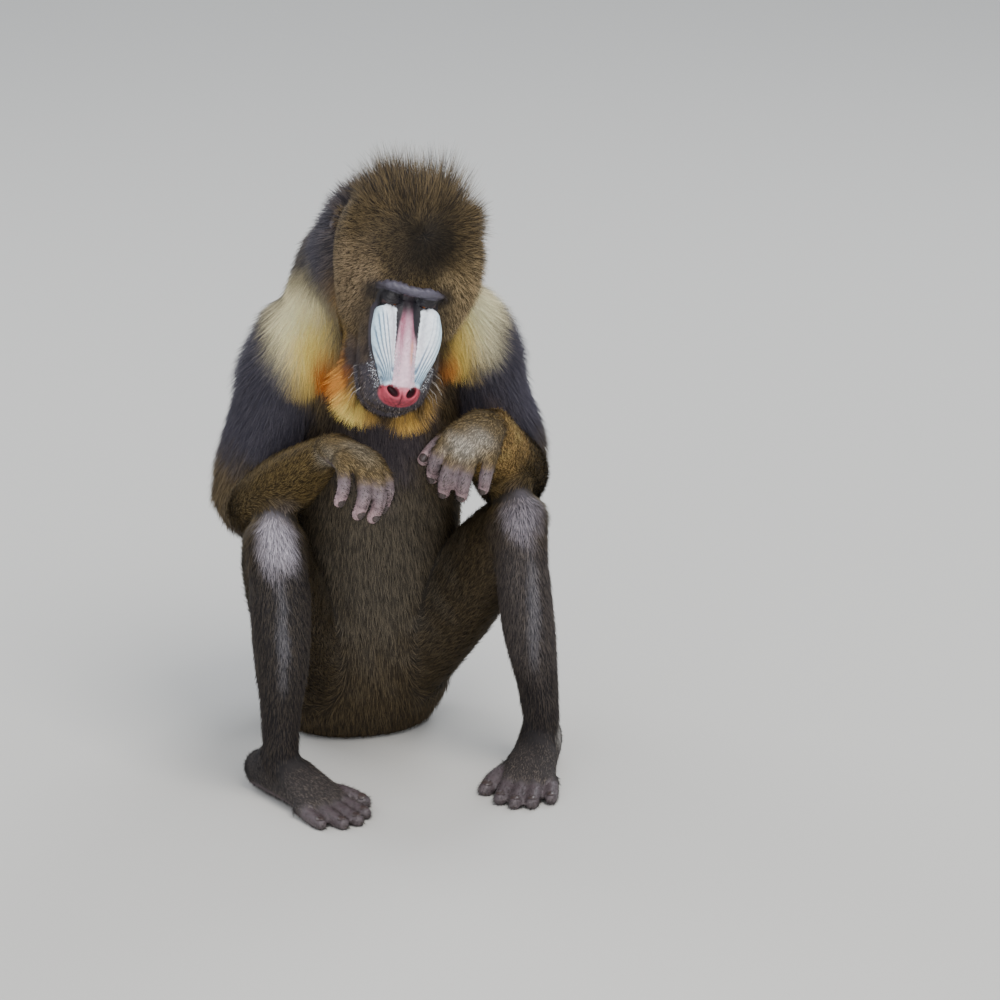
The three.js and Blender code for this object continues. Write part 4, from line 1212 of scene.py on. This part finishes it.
def grow(
    name, owners, chosen, count, width, seed,
    spread=(0.72, 1.22, 1), own=None, turned=None, loose=0.16, rows=(0,),
):
    """Coat over the skin's chosen faces, rooted evenly by area.

    Own is the length, lift and colour of hair unlike the coat's, turned the way that curled hair faces,
    loose how far it strays from the flow, and rows are the shares of its length that have corners."""
    random = np.random.default_rng(seed)
    ladder = np.cumsum(face_area * chosen * (furred if own is None else 1))
    picks = (np.arange(count) + random.random(count)) / count * ladder[-1]
    faces = np.minimum(np.searchsorted(ladder, picks), len(skin_faces) - 1)
    weight = random.dirichlet((1, 1, 1), count)
    weigh = lambda values: np.einsum("ij,ij...->i...", weight, values[skin_faces[faces]])
    root = weigh(points)
    up = unit(weigh(away))
    way = weigh(flow) + random.normal(0, loose, (count, 3))
    way = unit(way - up * (way * up).sum(1)[:, None])
    low, high, power = spread
    length = (weigh(hair) if own is None else own[0]) * (low + (high - low) * random.random(count) ** power)
    rise = np.radians((weigh(lift) if own is None else own[1]) + random.normal(0, LIFT_SPREAD, count))
    thick = width * random.uniform(0.75, 1.3, count)
    tone = weigh(colour) if own is None else np.tile(rgb(own[2]), (count, 1))
    contrast = weigh(grizzle)[:, None]
    ticked = random.random((count, 1)) < TICKED
    tip_tone = np.where(ticked, tone + (tone * 0.9 + TICKING * 0.12) * contrast, tone * (1 - 0.55 * contrast))
    body_tone = tone * (1 + contrast * random.uniform(-0.35, 0.25, (count, 1)))
    facing = up if turned is None else unit(up * 0.4 + np.array(turned))
    place = root - up * SINK
    before = 0
    rings, looks = [], []
    for share in (*rows, 1):
        angle = rise * (1.6 - 0.6 * (share + before))
        heading = way * np.cos(angle)[:, None] + up * np.sin(angle)[:, None]
        place = place + heading * ((share - before) * length)[:, None]
        before = share
        across = np.cross(up, way)
        above = np.cross(heading, across)
        look = body_tone + (tip_tone - body_tone) * smooth(share, 0.3, 1.0)
        root_shade = 0.55 + 0.45 * float(smooth(share, 0, 0.45))
        looks.append((np.minimum(look * root_shade, BRIGHTEST), 1 if share == 1 else 3))
        if share == 1:
            rings.append((place[:, None, :], facing[:, None, :], np.array([[0.0, 1.0]])))
            continue
        taper = thick * (1 - TAPER * share**2) / 2
        offset = (
            across[:, None, :] * np.cos(CORNERS)[None, :, None]
            + above[:, None, :] * (np.sin(CORNERS) * FLAT)[None, :, None]
        )
        round_way = unit(offset) + facing[:, None, :] * ROUNDING
        map_spots = np.column_stack([np.cos(CORNERS), np.full(3, 2 * share - 1)])
        rings.append((place[:, None, :] + offset * taper[:, None, None], round_way, map_spots))
    verts = np.concatenate([ring[0] for ring in rings], axis=1)
    verts[:, :, 2] = np.maximum(verts[:, :, 2], FLOOR_CLEAR)
    ways = np.concatenate([ring[1] for ring in rings], axis=1)
    spots = np.concatenate([ring[2] for ring in rings], axis=0)
    tones = np.concatenate([np.repeat(look[:, None, :], n, 1) for look, n in looks], axis=1)
    each = verts.shape[1]
    pattern = []
    for row in range(len(rows) - 1):
        for j in range(3):
            a, b = row * 3 + j, row * 3 + (j + 1) % 3
            pattern += [(a, b, b + 3), (a, b + 3, a + 3)]
    last = 3 * (len(rows) - 1)
    pattern += [(last + j, last + (j + 1) % 3, each - 1) for j in range(3)]
    pattern = np.array(pattern)
    tris = (pattern[None] + (np.arange(count) * each)[:, None, None]).reshape(-1, 3)
    mesh = bpy.data.meshes.new(name)
    mesh.vertices.add(count * each)
    mesh.vertices.foreach_set("co", (verts * MM).astype(np.float32).ravel())
    mesh.loops.add(tris.size)
    mesh.loops.foreach_set("vertex_index", tris.ravel().astype(np.int32))
    mesh.polygons.add(len(tris))
    mesh.polygons.foreach_set("loop_start", np.arange(0, tris.size, 3, dtype=np.int32))
    mesh.update(calc_edges=True)
    mesh.shade_smooth()
    mark(mesh, tones.reshape(-1, 3))
    kind = owner[skin_faces[faces, 0]]
    strip = np.zeros(count)
    for i, one in enumerate(owners):
        strip[kind == owner_names.index(one)] = i
    around = weigh(map_place)
    u = np.arctan2(around[:, 1], around[:, 0]) / (2 * math.pi) + 0.5
    v = (strip + (np.clip(around[:, 2], -0.2, 1.2) + 0.2) / 1.4) / len(owners)
    spot = np.column_stack([u, v])[:, None, :] * 0.99 + 0.005 + spots[None] * PATCH
    uv = mesh.uv_layers.new(name="OFBake")
    uv.data.foreach_set("uv", spot.reshape(-1, 2)[tris.ravel()].astype(np.float32).ravel())
    mesh.normals_split_custom_set_from_vertices(unit(ways).reshape(-1, 3))
    mesh.materials.append(fur_paint)
    piece = bpy.data.objects.new(name, mesh)
    bpy.context.collection.objects.link(piece)
    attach(piece, "root")
    return piece


def of(*owners):
    """The skin's faces that belong to these parts of the body"""
    indices = [owner_names.index(name) for name in owners]
    return np.isin(owner[skin_faces[:, 0]], indices)


in_mantle = mantle[skin_faces].mean(1) > 0.3
in_crest = (crest[skin_faces].mean(1) > 0.35) & of("head")
in_front = in_head(corner.mean(1))[:, 2] > -62
low = corner[:, :, 2].mean(1) < 300
body = ~in_mantle
grow("coat_rump", ["trunk"], of("trunk") & low & body, 40000, 1.9, 101)
grow("coat_back", ["trunk"], of("trunk") & ~low & body, 48000, 1.9, 102)
grow("coat_tail", ["tail"], of("tail"), 3000, 1.6, 103)
for i, side in enumerate(LIMB_NAMES):
    leg = ["thigh_" + side, "shin_" + side]
    grow("coat_leg_" + side, leg, of(*leg) & body, 38000, 1.6, 110 + i)
    upper = ["upper_" + side]
    grow("coat_upper_arm_" + side, upper, of(*upper) & body, 20000, 1.3, 120 + i)
    fore = ["fore_" + side]
    grow("coat_forearm_" + side, fore, of(*fore) & body, 27000, 1.2, 130 + i)
ends = [f"{kind}_{side}" for kind in ("hand", "foot") for side in LIMB_NAMES]
grow("coat_hands_feet", ends, of(*ends), 24000, 1.0, 140)
grow("coat_neck", ["neck"], of("neck") & body, 22000, 1.4, 150)
fringe = ["trunk", "neck", "upper_right", "upper_left", "fore_right", "fore_left"]
hung = in_mantle & of(*fringe)
grow("coat_mantle", fringe, hung, 52000, 0.8, 160, (0.5, 1.25, 1), turned=(0.1, -0.6, 0.5))
grow("coat_head", ["head"], of("head") & ~in_crest & in_front, 64000, 1.0, 170, loose=0.36)
grow("coat_nape", ["head"], of("head") & ~in_crest & ~in_front, 24000, 1.3, 171)
grow("coat_crest", ["head"], in_crest, 28000, 0.8, 180, (0.13, 1.3, 6), loose=0.24)
grow("coat_cheeks", ["muzzle"], of("muzzle"), 9000, 0.85, 190)
grow("coat_beard", ["jaw"], of("jaw"), 26000, 1.0, 200, (0.4, 1.2, 1), turned=(0, -0.9, 0.35))

# Stubble and whiskers on the bare muzzle: short dark hairs, pale bristles below the swellings, and a few long
# stiff whiskers each side of the mouth.
middle = in_head(corner.mean(1))
_, y, z = middle.T
bald = bare[skin_faces].mean(1) > 0.8
pad_reach = reach_of(middle, *NOSE_PAD)
lips = bald & (y < -62) & (z < -12) & (pad_reach > 1.1)
ridge_reach = np.minimum(*(ridge.gap(corner.mean(1)) for ridge in RIDGES.values()))
bristly = bald & (y < -68) & (y > -108) & (ridge_reach > 1.5) & (ridge_reach < 9)
bristly &= pad_reach > 1.15
cheek_side = bald & (abs(y + 92) < 16) & (z < -34) & (z > -56)
grow("muzzle_stubble", ["muzzle"], lips, 9000, 0.7, 210, own=(4.4, 46, "#857a78"))
grow("muzzle_hair", ["muzzle"], lips, 14000, 0.8, 213, own=(6.0, 40, "#1d181a"))
grow("muzzle_bristles", ["muzzle"], bristly, 460, 1.7, 211, own=(3.0, 55, "#eef5ff"))
grow(
    "whiskers", ["muzzle"], cheek_side, 14, 0.5, 212, (0.5, 1.2, 1),
    own=(24, 50, "#cfc8be"), rows=(0, 0.5),
)
